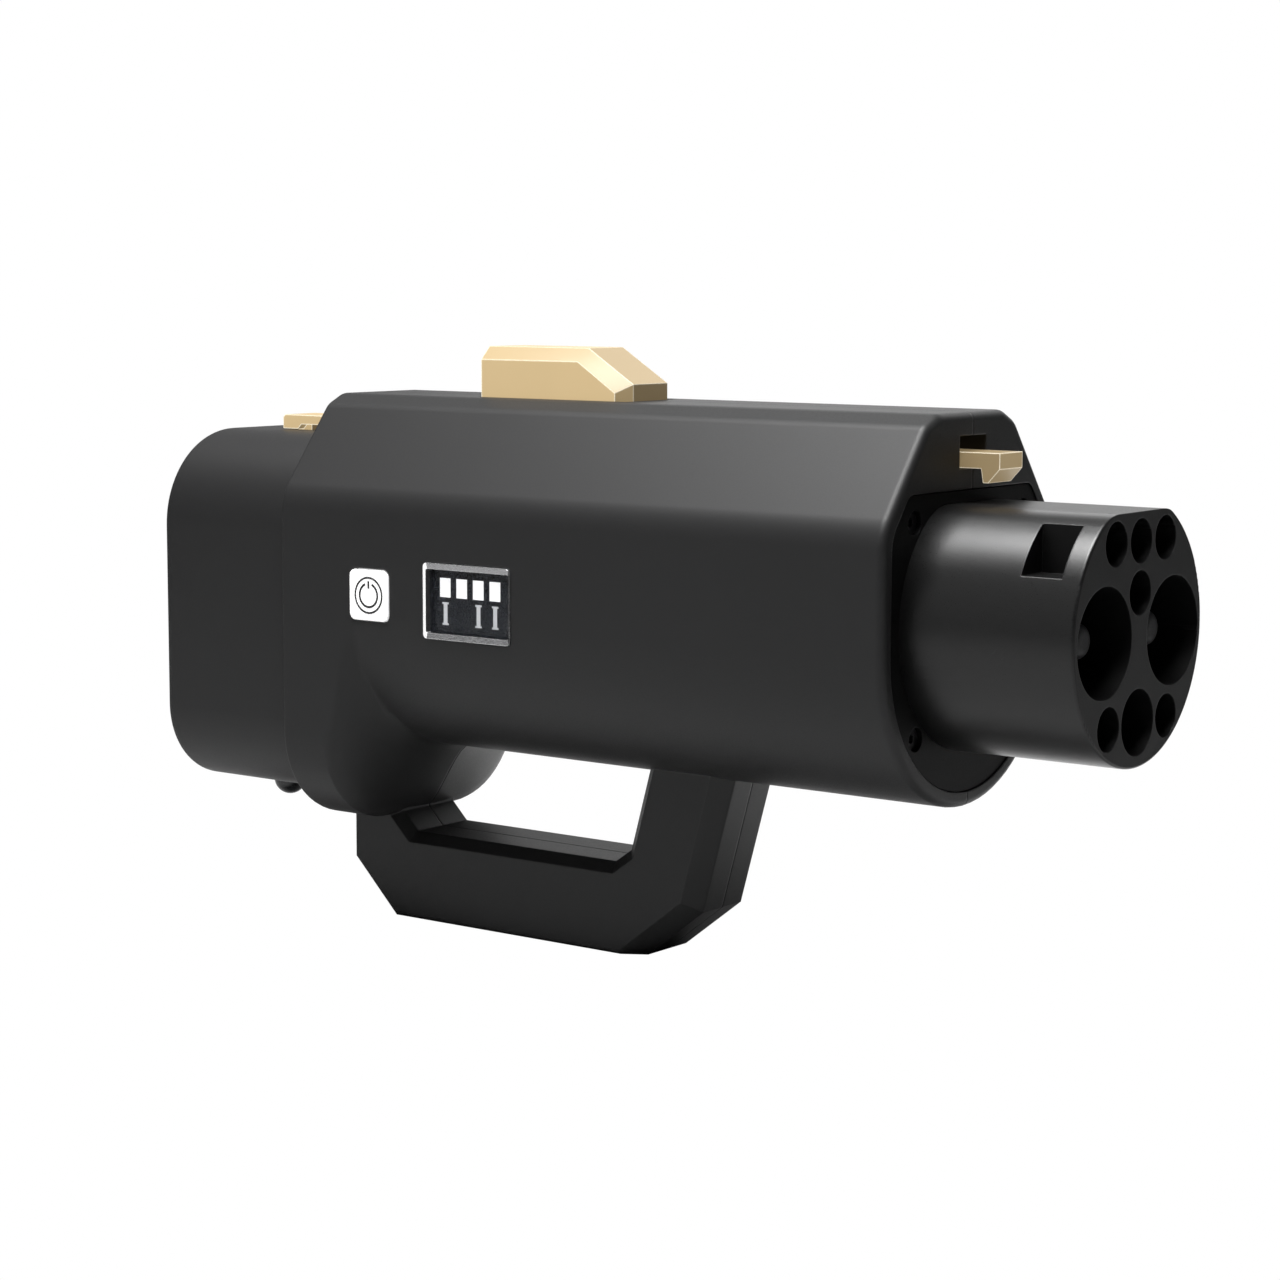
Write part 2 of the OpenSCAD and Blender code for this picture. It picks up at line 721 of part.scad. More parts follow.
module flange_gasket() {
    color([0.08, 0.08, 0.08]) difference() {
        along_x(ledge_x, plate_back) plate_section(0.3);
        along_x(ledge_x - 1, plate_back + 1) plate_section(4);
        for (p = plate_screws, s = [-1, 1]) rod_x(ledge_x - 1, plate_back + 1, s * p[0], p[1], 4.2);
    }
}
module flange_screws() {
    color([0.3, 0.3, 0.31]) for (p = plate_screws, s = [-1, 1]) difference() {
        union() {
            rod_x(cavity_front - 8, plate_back + 1, s * p[0], p[1], pilot_r);
            rod_x(plate_back + 1, plate_back + 3, s * p[0], p[1], head_r);
        }
        rod_x(plate_back + 1.8, plate_x, s * p[0], p[1], 1.3, $fn = 6);
    }
}
sleeve_front = -dc_depth + 2;
sleeve_recess = 0.5;
sleeve_floor = block_back + 8;
tail_x = block_back - 14;
module plug_power_sleeves() {
    color([0.75, 0.75, 0.77]) for (s = [-1, 1]) {
        difference() {
            rod_x(block_back - 1, sleeve_front, s * dc_pitch, dc_z, sleeve_r);
            rod_x(sleeve_floor, sleeve_front + 1, s * dc_pitch, dc_z, 6.2);
            rod_x(sleeve_floor - 5, sleeve_floor + 1, s * dc_pitch, dc_z, guard_d / 2 - 1);
        }
        translate([tail_x, s * dc_pitch - 5, dc_z - 1.5]) cube([block_back - tail_x, 10, 3]);
    }
}
module plug_guard_rods() {
    color([0.2, 0.2, 0.2]) for (s = [-1, 1]) translate([-guard_recess, s * dc_pitch, dc_z]) {
        rotate([0, 90, 0]) rotate_extrude() guard_profile();
    }
}
module guard_profile() {
    tip = 2.4;
    difference() {
        translate([0, sleeve_floor + guard_recess]) square([guard_d / 2, -sleeve_floor - guard_recess]);
        translate([guard_d / 2 - tip, -tip]) difference() {
            square(tip + 1);
            circle(tip);
        }
    }
    translate([0, sleeve_floor + guard_recess - 5]) square([guard_d / 2 - 1.02, 5]);
}
module contact_sleeve(p, front, outer, inner, back) {
    difference() {
        rod_x(back, front, p[0], p[1], outer);
        rod_x(back + 14, front + 1, p[0], p[1], inner);
    }
}
module plug_earth_sleeve() {
    color([0.75, 0.75, 0.77]) {
        contact_sleeve(earth_spot, -earth_depth - sleeve_recess, earth_sleeve_r, 3.1, block_back - 3);
        translate([tail_x, -5, earth_spot[1] - 1]) cube([block_back - 3 - tail_x, 10, 2]);
    }
}
module plug_signal_sleeves() {
    color([0.75, 0.75, 0.77]) for (p = signal_spots)
        contact_sleeve(p, -small_depth - sleeve_recess, signal_sleeve_r, 1.55, block_back - 6);
}
module contact_retainer() {
    color([0.18, 0.18, 0.18]) difference() {
        along_x(block_back - 3, block_back) spigot_section(spigot_r, spigot_flat);
        for (s = [-1, 1]) rod_x(block_back - 4, block_back + 1, s * dc_pitch, dc_z, sleeve_r + 0.1);
        for (p = signal_spots) rod_x(block_back - 4, block_back + 1, p[0], p[1], signal_sleeve_r + 0.1);
        rod_x(block_back - 4, block_back + 1, earth_spot[0], earth_spot[1], earth_sleeve_r + 0.1);
    }
}

// Inlet: shroud, contact carrier and its pins
insert_front = rear_x - 9;
insert_back = rear_x - 3;
block_x = rim_x + block_recess;
drain_stem_r = 2;
drain_x = rear_x - 37.6;
foot_r = 5;
foot_height = 7.6;
module inlet_shroud() {
    color([0.12, 0.12, 0.125]) difference() {
        union() {
            along_x(rim_x + rim_round, flange_front) shroud_section(0);
            for (i = [0 : 3]) along_x(rim_x + rim_round * (1 - cos(22.5 * i)), rim_x + rim_round + eps)
                shroud_section(rim_round * (1 - sin(22.5 * i)) * 0.6);
            along_x(cavity_rear, flange_front) deep_section(wall + gap);
        }
        along_x(rim_x - 1, insert_back) shroud_section(shroud_wall);
        along_x(rim_x, flange_front + 1) shroud_section(shroud_wall + 5);
        tongue_window(cavity_rear, flange_front + 1);
        translate([tooth_x - tooth_length / 2 - 1.9, -tooth_half - play, 0])
            cube([tooth_length + 2.3, 2 * (tooth_half + play), body_top]);
        rod_between([drain_x, 0, -shroud_bottom - 5], [drain_x, 0, -shroud_bottom + 10],
            drain_stem_r + fit);
        for (p = insert_screw_spots) rod_x(insert_back - 1, flange_front + 1, p[0], p[1], 1.3);
    }
}
rim_round = 1.6;
insert_screw_y = shroud_width / 2 - shroud_wall - 2.5;
insert_screw_z = shroud_top - shroud_wall - 2.9;
insert_screw_spots = [for (p = [[insert_screw_y, -22], [11, insert_screw_z]], s = [-1, 1]) [s * p[0], p[1]]];
well_r = 6;
signal_pin_spot = [9.5, 13.5];
signal_pin_z = upper_block_z + signal_pin_spot[1];
signal_well_r = 4.4;
upper_wells = [[-17, 0, well_r], [17, 0, well_r], [0, 0, well_r], [-8.8, -15, well_r], [8.8, -15, well_r],
    [-signal_pin_spot[0], signal_pin_spot[1], signal_well_r],
    [signal_pin_spot[0], signal_pin_spot[1], signal_well_r]];
upper_block_flat = 22;
lower_well_r = 9.5;
module upper_block_section() {
    translate([0, upper_block_z]) intersection() {
        circle(upper_block_d / 2, $fn = 96);
        translate([-upper_block_d, -upper_block_d])
            square([2 * upper_block_d, upper_block_d + upper_block_flat]);
    }
}
module lower_block_section() {
    for (s = [-1, 1]) translate([s * lower_pitch, lower_block_z]) circle(lower_block_r);
    translate([-lower_pitch, lower_block_z - lower_block_r]) square([2 * lower_pitch, 2 * lower_block_r]);
}
module inlet_upper_block() {
    color([0.15, 0.15, 0.155]) difference() {
        along_x(block_x, insert_front) upper_block_section();
        for (w = upper_wells)
            rod_x(block_x - 1, insert_front + 1, w[0], upper_block_z + w[1], w[2]);
    }
}
module inlet_lower_block() {
    color([0.15, 0.15, 0.155]) difference() {
        along_x(block_x, insert_front) lower_block_section();
        for (s = [-1, 1])
            rod_x(block_x - 1, insert_front + 1, s * lower_pitch, lower_block_z, lower_well_r);
    }
}
module inlet_plate() {
    color([0.15, 0.15, 0.155]) difference() {
        along_x(insert_front, insert_back) shroud_section(shroud_wall + 0.1);
        for (s = [-1, 1]) {
            rod_x(insert_front - 1, insert_back + 1, s * lower_pitch, lower_block_z, power_pin_d / 2 + fit);
            rod_x(insert_front - 1, insert_back + 1, s * signal_pin_spot[0], signal_pin_z,
                signal_pin_r + fit);
        }
        rod_x(insert_front - 1, insert_back + 1, 0, upper_block_z, earth_pin_r + fit);
        for (p = insert_screw_spots) rod_x(insert_front - 1, insert_back + 1, p[0], p[1], 1.3 + fit);
    }
}
module inlet_screws() {
    color([0.5, 0.5, 0.52]) for (p = insert_screw_spots) difference() {
        union() {
            rod_x(insert_front, cavity_rear, p[0], p[1], 1.3);
            rod_x(insert_front - 1.6, insert_front, p[0], p[1], 2.1);
        }
        rod_x(insert_front - 2, insert_front - 0.8, p[0], p[1], 1, $fn = 6);
    }
}
pin_tail = flange_front + 5;
signal_pin_r = 1.5;
earth_pin_r = 3;
bar_start = pin_tail - 3.7;
module inlet_power_pins() {
    color([0.75, 0.75, 0.77]) for (s = [-1, 1]) {
        rod_x(block_x + 8, pin_tail - 4, s * lower_pitch, lower_block_z, power_pin_d / 2);
        translate([pin_tail - 5, s * lower_pitch - 5, lower_block_z - 3]) cube([5, 10, 4]);
    }
}
module inlet_pin_tips() {
    color([0.1, 0.1, 0.1]) for (s = [-1, 1]) translate([block_x + 4, s * lower_pitch, lower_block_z])
        rotate([0, 90, 0]) rotate_extrude() difference() {
            square([power_pin_d / 2, 4]);
            translate([power_pin_d / 2 - 1.5, 1.5]) difference() {
                translate([0, -2.5]) square(2.5);
                circle(1.5);
            }
        }
}
module inlet_earth_pin() {
    color([0.75, 0.75, 0.77]) {
        rod_x(block_x + 5, pin_tail - 4, 0, upper_block_z, earth_pin_r);
        translate([pin_tail - 5, -5, upper_block_z - 1]) cube([5, 10, 2]);
    }
}
module inlet_signal_pins() {
    color([0.75, 0.75, 0.77]) for (s = [-1, 1])
        rod_x(block_x + 9, pin_tail - 2, s * signal_pin_spot[0], signal_pin_z, signal_pin_r);
}
module drain_plug() {
    color([0.05, 0.05, 0.06]) translate([drain_x, 0, -shroud_bottom]) rotate([180, 0, 0]) rotate_extrude() {
        square([foot_r, foot_height - foot_r]);
        translate([0, foot_height - foot_r]) intersection() {
            circle(foot_r);
            square(foot_r);
        }
        translate([0, -shroud_wall - 0.5]) square([drain_stem_r, shroud_wall + 1]);
        translate([0, -shroud_wall - 1.5]) square([drain_stem_r + 1, 1.3]);
    }
}

// Release mechanism
function button_outline(d) = [
    [button_rear_x, body_top - 6],
    [button_rear_x, button_top - d],
    [button_front_x - button_slope - d * 0.3, button_top - d],
    [button_front_x - d, body_top + button_nose - d * 0.64],
    [button_front_x - d, body_top - 6]];
module release_button() {
    side = button_width / 2;
    color([0.84, 0.74, 0.56]) hull() {
        along_y(-side + button_bevel, side - button_bevel) polygon(button_outline(0));
        along_y(-side, side) polygon(button_outline(button_bevel));
    }
}
arm_half = 4;
arm_low = pivot_z - 4;
arm_high = body_top - 6;
module latch_arm() {
    color([0.3, 0.3, 0.31]) difference() {
        union() {
            along_y(-arm_half, arm_half) polygon([
                [button_rear_x + 6, arm_low],
                [button_rear_x + 6, arm_high],
                [button_front_x + 2, arm_high],
                [button_front_x + 8, pivot_z + 2.4],
                [pivot_x + 12, pivot_z + 2.4],
                [hook_back - 4, hook_top],
                [hook_back, hook_top],
                [hook_back, hook_top - hook_thick],
                [hook_back - 8, hook_top - hook_thick],
                [pivot_x + 6, arm_low]]);
            rod_y(pivot_x, pivot_z, -5.5, 5.5, 3.4);
        }
        rod_y(pivot_x, pivot_z, -7, 7, lever_pin_d / 2 + 0.05);
    }
}
hook_back = cavity_front - 6;
hook_tip_x = front_x + hook_reach;
hook_tooth = 3.6;
module latch_hook() {
    low = hook_top - hook_thick;
    color([0.84, 0.74, 0.56]) {
        along_y(-hook_width / 2, hook_width / 2) polygon([
            [hook_back, hook_top],
            [hook_tip_x, hook_top],
            [hook_tip_x, low],
            [hook_tip_x - 3.3, low - hook_tooth],
            [hook_tip_x - 4.8, low - hook_tooth],
            [hook_tip_x - 5.4, low],
            [hook_back, low]]);
    }
}
module lever_pin() {
    color([0.7, 0.7, 0.72]) rod_y(pivot_x, pivot_z, -13.5, 13.5, lever_pin_d / 2);
}
spring_x = button_rear_x + 20.7;
bracket_top = frame_z + 23.2;
function coil_point(t, r, z0, z1, turns) =
    [r * cos(360 * turns * t), r * sin(360 * turns * t), z0 + (z1 - z0) * t];
module coil(r, wire, z0, z1, turns) {
    steps = turns * 12;
    sides = 6;
    rings = [for (i = [0 : steps]) let (
        t = i / steps,
        c = coil_point(t, r, z0, z1, turns),
        out = [cos(360 * turns * t), sin(360 * turns * t), 0])
        [for (k = [0 : sides - 1]) let (a = 360 * k / sides)
            c + wire / 2 * (out * cos(a) + [0, 0, sin(a)])]];
    coil_solid(rings);
}
module coil_solid(rings) {
    n = len(rings[0]);
    m = len(rings);
    points = [for (r = rings) each r];
    sides = [for (j = [0 : m - 2]) for (i = [0 : n - 1])
        [j * n + i, (j + 1) * n + i, (j + 1) * n + (i + 1) % n, j * n + (i + 1) % n]];
    polyhedron(points, concat(sides, [[for (i = [0 : n - 1]) i]],
        [[for (i = [n - 1 : -1 : 0]) (m - 1) * n + i]]), convexity = 10);
}
spring_wire = 1.1;
module lever_spring() {
    color([0.7, 0.7, 0.72]) translate([spring_x, 0, 0])
        coil(4, spring_wire, bracket_top + spring_wire / 2 + 0.05, arm_low - spring_wire / 2 - 0.05, 6);
}
module latch_switch() {
    color([0.1, 0.1, 0.1]) translate([front_x - 62, -3.2, board_top]) {
        cube([16, 6.4, 9]);
        translate([6, 1.7, 9]) cube([3, 3, hook_top - hook_thick - board_top - 9]);
    }
}
module lock_tongue() {
    half = tongue_width / 2;
    color([0.84, 0.74, 0.56]) difference() {
        union() {
            along_y(-half, half) polygon([
                [tongue_tip_x, tongue_low],
                [tongue_tip_x, tongue_top - 0.8],
                [tongue_tip_x + 0.8, tongue_top],
                [rear_x + 7, tongue_top],
                [rear_x + 7, tongue_low + pad_drop],
                [tongue_tip_x + pad_length + pad_drop, tongue_low + pad_drop],
                [tongue_tip_x + pad_length, tongue_low]]);
            along_y(-hub_half, hub_half) polygon([
                [rear_x + 6, tongue_low + 1.4],
                [rear_x + 6, tongue_top],
                [tongue_pivot_x, tongue_pivot_z + 3],
                [tongue_pivot_x, tongue_pivot_z - 3]]);
            rod_y(tongue_pivot_x, tongue_pivot_z, -hub_half, hub_half, 3.6);
            translate([tooth_x - tooth_length / 2, -tooth_half, shroud_top - 7])
                cube([tooth_length, 2 * tooth_half, 9]);
        }
        rod_y(tongue_pivot_x, tongue_pivot_z, -6, 6, tongue_pin_d / 2 + 0.05);
    }
}
module tongue_pin() {
    color([0.7, 0.7, 0.72]) rod_y(tongue_pivot_x, tongue_pivot_z, -13.5, 13.5, tongue_pin_d / 2);
}
module tongue_spring() {
    color([0.7, 0.7, 0.72]) translate([tongue_pivot_x, hub_half + 0.7, tongue_pivot_z]) rotate([-90, 0, 0])
        coil(2.2, 0.8, 0, 2.7, 3);
}

// Power button, display and their board
key_face = -half_w - 0.4;
key_flange = -half_w + wall + gap;
switch_height = 2.4;
module power_button() {
    color([0.93, 0.93, 0.93]) translate([key_x, 0, panel_z]) {
        along_y(key_face, key_flange) rounded_square(key_size, key_size, 2);
        along_y(key_flange, key_flange + 1) rounded_square(key_size + 3, key_size + 3, 1);
        rod_y(0, 0, key_flange + 1, board_y - switch_height - key_travel - 0.1, 2);
    }
}
module power_switch() {
    color([0.1, 0.1, 0.1]) translate([key_x - 3, board_y - switch_height, panel_z - 3])
        cube([6, switch_height, 6]);
}
screen_width = display_width - 2.3;
screen_height = display_height - 3.4;
screen_x = display_x + 0.75;
module display_bezel() {
    color([0.55, 0.55, 0.57]) difference() {
        translate([display_x, 0, panel_z]) {
            along_y(-half_w - 0.3, -half_w + wall) rounded_square(display_width, display_height, 1.2);
            along_y(-half_w + wall, -half_w + wall + 1)
                rounded_square(display_width + 3, display_height + 3, 1.2);
        }
        translate([screen_x, 0, panel_z]) along_y(-half_w - 1, -half_w + wall + 2)
            rounded_square(screen_width, screen_height, 0.6);
    }
}
module display_window() {
    color([0.3, 0.34, 0.4, 0.4]) translate([screen_x, 0, panel_z])
        along_y(-half_w + 0.4, -half_w + 1.4) rounded_square(screen_width - 0.1, screen_height - 0.1, 0.6);
}
module_front = -half_w + 2;
module display_module() {
    color([0.05, 0.05, 0.06]) translate([screen_x, 0, panel_z])
        along_y(module_front, board_y) square([screen_width - 0.4, screen_height - 0.4], center = true);
}
bar_pitch = 5.93;
segment_width = 3.7;
segment_height = 5.3;
module display_segments() {
    middle = display_x - 0.25;
    color([0.95, 0.95, 0.95]) for (i = [-1.5 : 1.5])
        translate([middle + i * bar_pitch - segment_width / 2, module_front - 0.15, panel_z + 1.1])
            cube([segment_width, 0.15, segment_height]);
}
module display_board() {
    color([0.05, 0.25, 0.12]) difference() {
        translate([key_x - 14, board_y, panel_z - 12])
            cube([display_x - key_x + 36.5, board_thick, 25]);
        for (b = board_spots) rod_y(b[0], b[1], board_y - 1, board_y + board_thick + 1, 1);
    }
}
module board_screws() {
    color([0.7, 0.7, 0.72]) for (b = board_spots) {
        rod_y(b[0], b[1], board_y - 4.5, board_y + board_thick, 0.78);
        rod_y(b[0], b[1], board_y + board_thick, board_y + board_thick + 1.2, 1.8);
    }
}

// Inner frame with battery, boards and contactors
frame_thick = 2.5;
frame_top = frame_z + frame_thick;
frame_half = half_w - wall - 3.8;
notch_half = frame_half - 4.5;
cell_d = 18.4;
cell_pitch = 18.6;
cell_z = frame_top + cell_d / 2;
tab_thick = 2;
tab_half = cell_pitch + 1.4;
tab_height = 6;
board_bottom = frame_top + 19.5;
board_top = board_bottom + board_thick;
board_inset = 38;
board_length = 56;
board_half = 28;
board_front = front_x - board_inset;
board_rear = board_front - board_length;
battery_rear = rear_x + 37.4;
battery_length = board_rear - 7.6 - battery_rear;
post_y = board_half - 4;
post_spots = [for (x = [board_front - 8, board_rear + 4], y = [-post_y, post_y]) [x, y]];
module inner_frame() {
    color([0.25, 0.25, 0.26]) {
        difference() {
            translate([frame_rear, -frame_half, frame_z])
                cube([frame_front - frame_rear, 2 * frame_half, frame_thick]);
            translate([frame_rear - 1, -frame_half - 1, frame_z - 1])
                cube([display_x + display_width - frame_rear - 3, frame_half - notch_half + 1,
                    frame_thick + 2]);
        }
        for (p = post_spots) translate([p[0], p[1], frame_top])
            cylinder(h = board_bottom - frame_top, r = 2.5);
        for (x = [battery_rear - tab_thick - 0.2, battery_rear + battery_length + 0.2])
            translate([x, -tab_half, frame_top]) cube([tab_thick, 2 * tab_half, tab_height]);
    }
}
module battery_pack() {
    color([0.1, 0.25, 0.55]) {
        for (i = [-1 : 1])
            rod_x(battery_rear, battery_rear + battery_length, i * cell_pitch, cell_z, cell_d / 2);
        translate([battery_rear, -cell_pitch, frame_top]) cube([battery_length, 2 * cell_pitch, cell_d]);
    }
}
bracket_half = 1.5 * cell_pitch + 2.6;
bracket_length = 18;
bracket_thick = 1.6;
module battery_bracket() {
    color([0.6, 0.6, 0.62]) translate([spring_x - bracket_length / 2, 0, 0]) {
        translate([0, -bracket_half, bracket_top - bracket_thick])
            cube([bracket_length, 2 * bracket_half, bracket_thick]);
        for (y = [-bracket_half, bracket_half - bracket_thick]) translate([0, y, frame_top])
            cube([bracket_length, bracket_thick, bracket_top - frame_top - 1]);
    }
}
module main_board() {
    color([0.05, 0.3, 0.14]) translate([board_rear, -board_half, board_bottom])
        cube([board_length, 2 * board_half, board_thick]);
}
module power_module() {
    color([0.2, 0.2, 0.22]) translate([board_rear + 6, 6, board_top]) cube([24, 18, 10]);
}
capacitor_r = 4.5;
capacitor_height = 11;
capacitor_pitch = 2 * capacitor_r + 2;
module capacitors() {
    color([0.12, 0.12, 0.3]) for (i = [0 : 2])
        translate([board_rear + 10 + capacitor_pitch * i, -15, board_top])
            cylinder(h = capacitor_height, r = capacitor_r);
}
module fuse() {
    color([0.85, 0.85, 0.8]) translate([board_front - 18, 10, board_top]) {
        translate([0, 0, 3.2]) rotate([-90, 0, 0]) cylinder(h = 14, r = 3.2);
    }
}
contactor_front = front_x - 62;
contactor_length = 40;
contactor_rear = contactor_front - contactor_length;
contactor_height = 27;
contactor_width = 26;
stud_length = 3;
terminal_y = dc_pitch - 1;
bar_thick = 2;
bar_y = 9;
bar_width = 10;
terminal_z = frame_z - 15;
module contactor() {
    translate([contactor_rear, 3.5, frame_z - contactor_height])
        cube([contactor_length, contactor_width, contactor_height]);
    for (x = [contactor_rear - stud_length, contactor_front])
        rod_x(x, x + stud_length, terminal_y, terminal_z, 4);
}
module contactor_positive() {
    color([0.15, 0.15, 0.16]) mirror([0, 1, 0]) contactor();
}
module contactor_negative() {
    color([0.15, 0.15, 0.16]) contactor();
}
bar_low = lower_block_z - 3 - bar_thick;
bar_high = -28.5;
module busbar_rear() {
    top = terminal_z + 5;
    x0 = pin_tail + 2;
    x1 = contactor_rear - stud_length;
    along_y(bar_y, bar_y + bar_width) polygon([
        [bar_start, bar_low],
        [bar_start, bar_low + bar_thick],
        [x0 - bar_thick, bar_low + bar_thick],
        [x0 - bar_thick, bar_high],
        [x1 - bar_thick, bar_high],
        [x1 - bar_thick, top],
        [x1, top],
        [x1, bar_high - bar_thick],
        [x0, bar_high - bar_thick],
        [x0, bar_low]]);
}
module busbar_front() {
    x0 = contactor_front + stud_length;
    z1 = dc_z - 1.5;
    along_y(dc_pitch - 4.5, dc_pitch + 4.5) polygon([
        [x0, terminal_z - 5],
        [x0, z1],
        [tail_x + 8, z1],
        [tail_x + 8, z1 - bar_thick],
        [x0 + bar_thick, z1 - bar_thick],
        [x0 + bar_thick, terminal_z - 5]]);
}
module busbar_rear_positive() {
    color([0.72, 0.45, 0.2]) mirror([0, 1, 0]) busbar_rear();
}
module busbar_rear_negative() {
    color([0.72, 0.45, 0.2]) busbar_rear();
}
module busbar_front_positive() {
    color([0.72, 0.45, 0.2]) mirror([0, 1, 0]) busbar_front();
}
module busbar_front_negative() {
    color([0.72, 0.45, 0.2]) busbar_front();
}
strap_z = -33;
module earth_strap() {
    z0 = upper_block_z - 1;
    z1 = earth_spot[1] - 1;
    x0 = bar_start;
    x1 = tail_x;
    color([0.72, 0.45, 0.2]) along_y(-2.6, 2.6) polygon([
        [x0, z0],
        [x0 + 6, z0],
        [x0 + 6, strap_z],
        [x1 - 3, strap_z],
        [x1 - 3, z1],
        [x1 + 8, z1],
        [x1 + 8, z1 - 1],
        [x1 - 2, z1 - 1],
        [x1 - 2, strap_z - 1],
        [x0 + 5, strap_z - 1],
        [x0 + 5, z0 - 1],
        [x0, z0 - 1]]);
}
module contact_board() {
    back = block_back - 5.6;
    color([0.05, 0.3, 0.14]) difference() {
        along_x(back - board_thick, back) spigot_section(spigot_r - 1.5, spigot_flat - 1);
        for (s = [-1, 1]) rod_x(back - 3, back + 1, s * dc_pitch, dc_z, sleeve_r + 1);
        for (p = signal_spots) rod_x(back - 3, back + 1, p[0], p[1], signal_sleeve_r + fit);
        rod_x(back - 3, back + 1, earth_spot[0], earth_spot[1], earth_sleeve_r + 1);
    }
}
ribbon_thick = 1;
ribbon_z = board_top + 1.4;
plug_block = 4;
module signal_loom_front() {
    back = block_back - 5.6 - board_thick;
    color([0.1, 0.1, 0.1]) {
        translate([board_front - plug_block, -7, board_top]) cube([plug_block, 14, plug_block]);
        translate([board_front - 1, -6, ribbon_z]) cube([back - board_front + 1, 12, ribbon_thick]);
    }
}
module signal_loom_rear() {
    x = pin_tail - 2;
    z = signal_pin_z;
    color([0.1, 0.1, 0.1]) {
        translate([x, -12, z - 2.5]) cube([2, 24, 5]);
        translate([x + 1, 7, ribbon_z]) cube([board_rear - x, 8, ribbon_thick]);
        translate([board_rear, 6, board_top]) cube([plug_block, 10, plug_block]);
    }
}

housing_right();
housing_left();
shell_screws();
plug_nose();
face_plate();
flange_gasket();
flange_screws();
plug_power_sleeves();
plug_guard_rods();
plug_earth_sleeve();
plug_signal_sleeves();
contact_retainer();
inlet_shroud();
inlet_plate();
inlet_upper_block();
inlet_lower_block();
inlet_screws();
inlet_power_pins();
inlet_pin_tips();
inlet_earth_pin();
inlet_signal_pins();
drain_plug();
release_button();
latch_arm();
latch_hook();
lever_pin();
lever_spring();
latch_switch();
lock_tongue();
tongue_pin();
tongue_spring();
power_button();
power_switch();
display_bezel();
display_window();
display_module();
display_segments();
display_board();
board_screws();
inner_frame();
battery_pack();
battery_bracket();
main_board();
power_module();
capacitors();
fuse();
contactor_positive();
contactor_negative();
busbar_rear_positive();
busbar_rear_negative();
busbar_front_positive();
busbar_front_negative();
earth_strap();
contact_board();
signal_loom_front();
signal_loom_rear();
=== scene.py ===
import json
import math

import bmesh
import bpy
from mathutils import Matrix, Vector

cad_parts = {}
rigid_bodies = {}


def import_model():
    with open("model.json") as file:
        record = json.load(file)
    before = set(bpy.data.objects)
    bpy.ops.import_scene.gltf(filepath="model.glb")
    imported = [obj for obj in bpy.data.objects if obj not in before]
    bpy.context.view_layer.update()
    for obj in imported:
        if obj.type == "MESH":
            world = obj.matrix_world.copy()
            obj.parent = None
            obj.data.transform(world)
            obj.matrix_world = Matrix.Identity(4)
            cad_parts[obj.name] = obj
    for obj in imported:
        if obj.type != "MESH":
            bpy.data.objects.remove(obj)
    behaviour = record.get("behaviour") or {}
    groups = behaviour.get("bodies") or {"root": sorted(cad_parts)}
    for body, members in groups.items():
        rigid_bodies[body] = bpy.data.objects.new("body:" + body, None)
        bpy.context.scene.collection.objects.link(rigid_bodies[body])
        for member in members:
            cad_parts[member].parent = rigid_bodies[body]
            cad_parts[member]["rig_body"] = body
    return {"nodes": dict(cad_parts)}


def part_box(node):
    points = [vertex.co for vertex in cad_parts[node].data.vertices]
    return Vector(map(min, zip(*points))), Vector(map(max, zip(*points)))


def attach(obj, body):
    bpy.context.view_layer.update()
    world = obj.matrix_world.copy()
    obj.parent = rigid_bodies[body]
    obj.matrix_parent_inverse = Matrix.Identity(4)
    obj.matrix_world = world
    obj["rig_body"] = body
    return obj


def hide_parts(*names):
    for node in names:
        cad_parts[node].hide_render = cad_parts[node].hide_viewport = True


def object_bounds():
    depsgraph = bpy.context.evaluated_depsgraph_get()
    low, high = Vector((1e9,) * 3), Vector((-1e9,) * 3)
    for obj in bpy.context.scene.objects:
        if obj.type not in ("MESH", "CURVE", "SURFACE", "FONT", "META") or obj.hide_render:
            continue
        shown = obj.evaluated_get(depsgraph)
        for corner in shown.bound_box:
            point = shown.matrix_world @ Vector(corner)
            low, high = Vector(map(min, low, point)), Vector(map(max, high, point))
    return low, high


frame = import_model()
cad_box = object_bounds()
nodes = frame["nodes"]
scene = bpy.context.scene
scene.view_settings.view_transform = "Standard"

MM = 0.001              # the frame is in metres, the sizes below are in millimetres
WELD = 0.0005 * MM      # points of a new mesh that are closer than this are one point

# Sockets of the Mix node, which has one set for each data type.
MIX_FACTOR = 0
FLOAT_A, FLOAT_B, FLOAT_OUT = 2, 3, 0
COLOUR_A, COLOUR_B, COLOUR_OUT = 6, 7, 2
PURE_WHITE = (1, 1, 1, 1)


# ---------- shader nodes ----------

def new_material(name):
    mat = bpy.data.materials.new(name)
    mat.use_nodes = True
    tree = mat.node_tree
    return mat, tree, tree.nodes["Principled BSDF"]


def node(tree, kind, **settings):
    """A new node. A setting named like an input sets the input, any other sets a property."""
    made = tree.nodes.new(kind)
    for key, value in settings.items():
        if key in made.inputs.keys():
            made.inputs[key].default_value = value
        else:
            setattr(made, key, value)
    return made


def feed(tree, value, target):
    """Links a socket to an input, or sets the input to a plain value."""
    if isinstance(value, bpy.types.NodeSocket):
        tree.links.new(value, target)
    else:
        target.default_value = value


def component(tree, vector, axis):
    """A vector's X, Y or Z."""
    split = node(tree, "ShaderNodeSeparateXYZ")
    tree.links.new(vector, split.inputs[0])
    return split.outputs[axis]


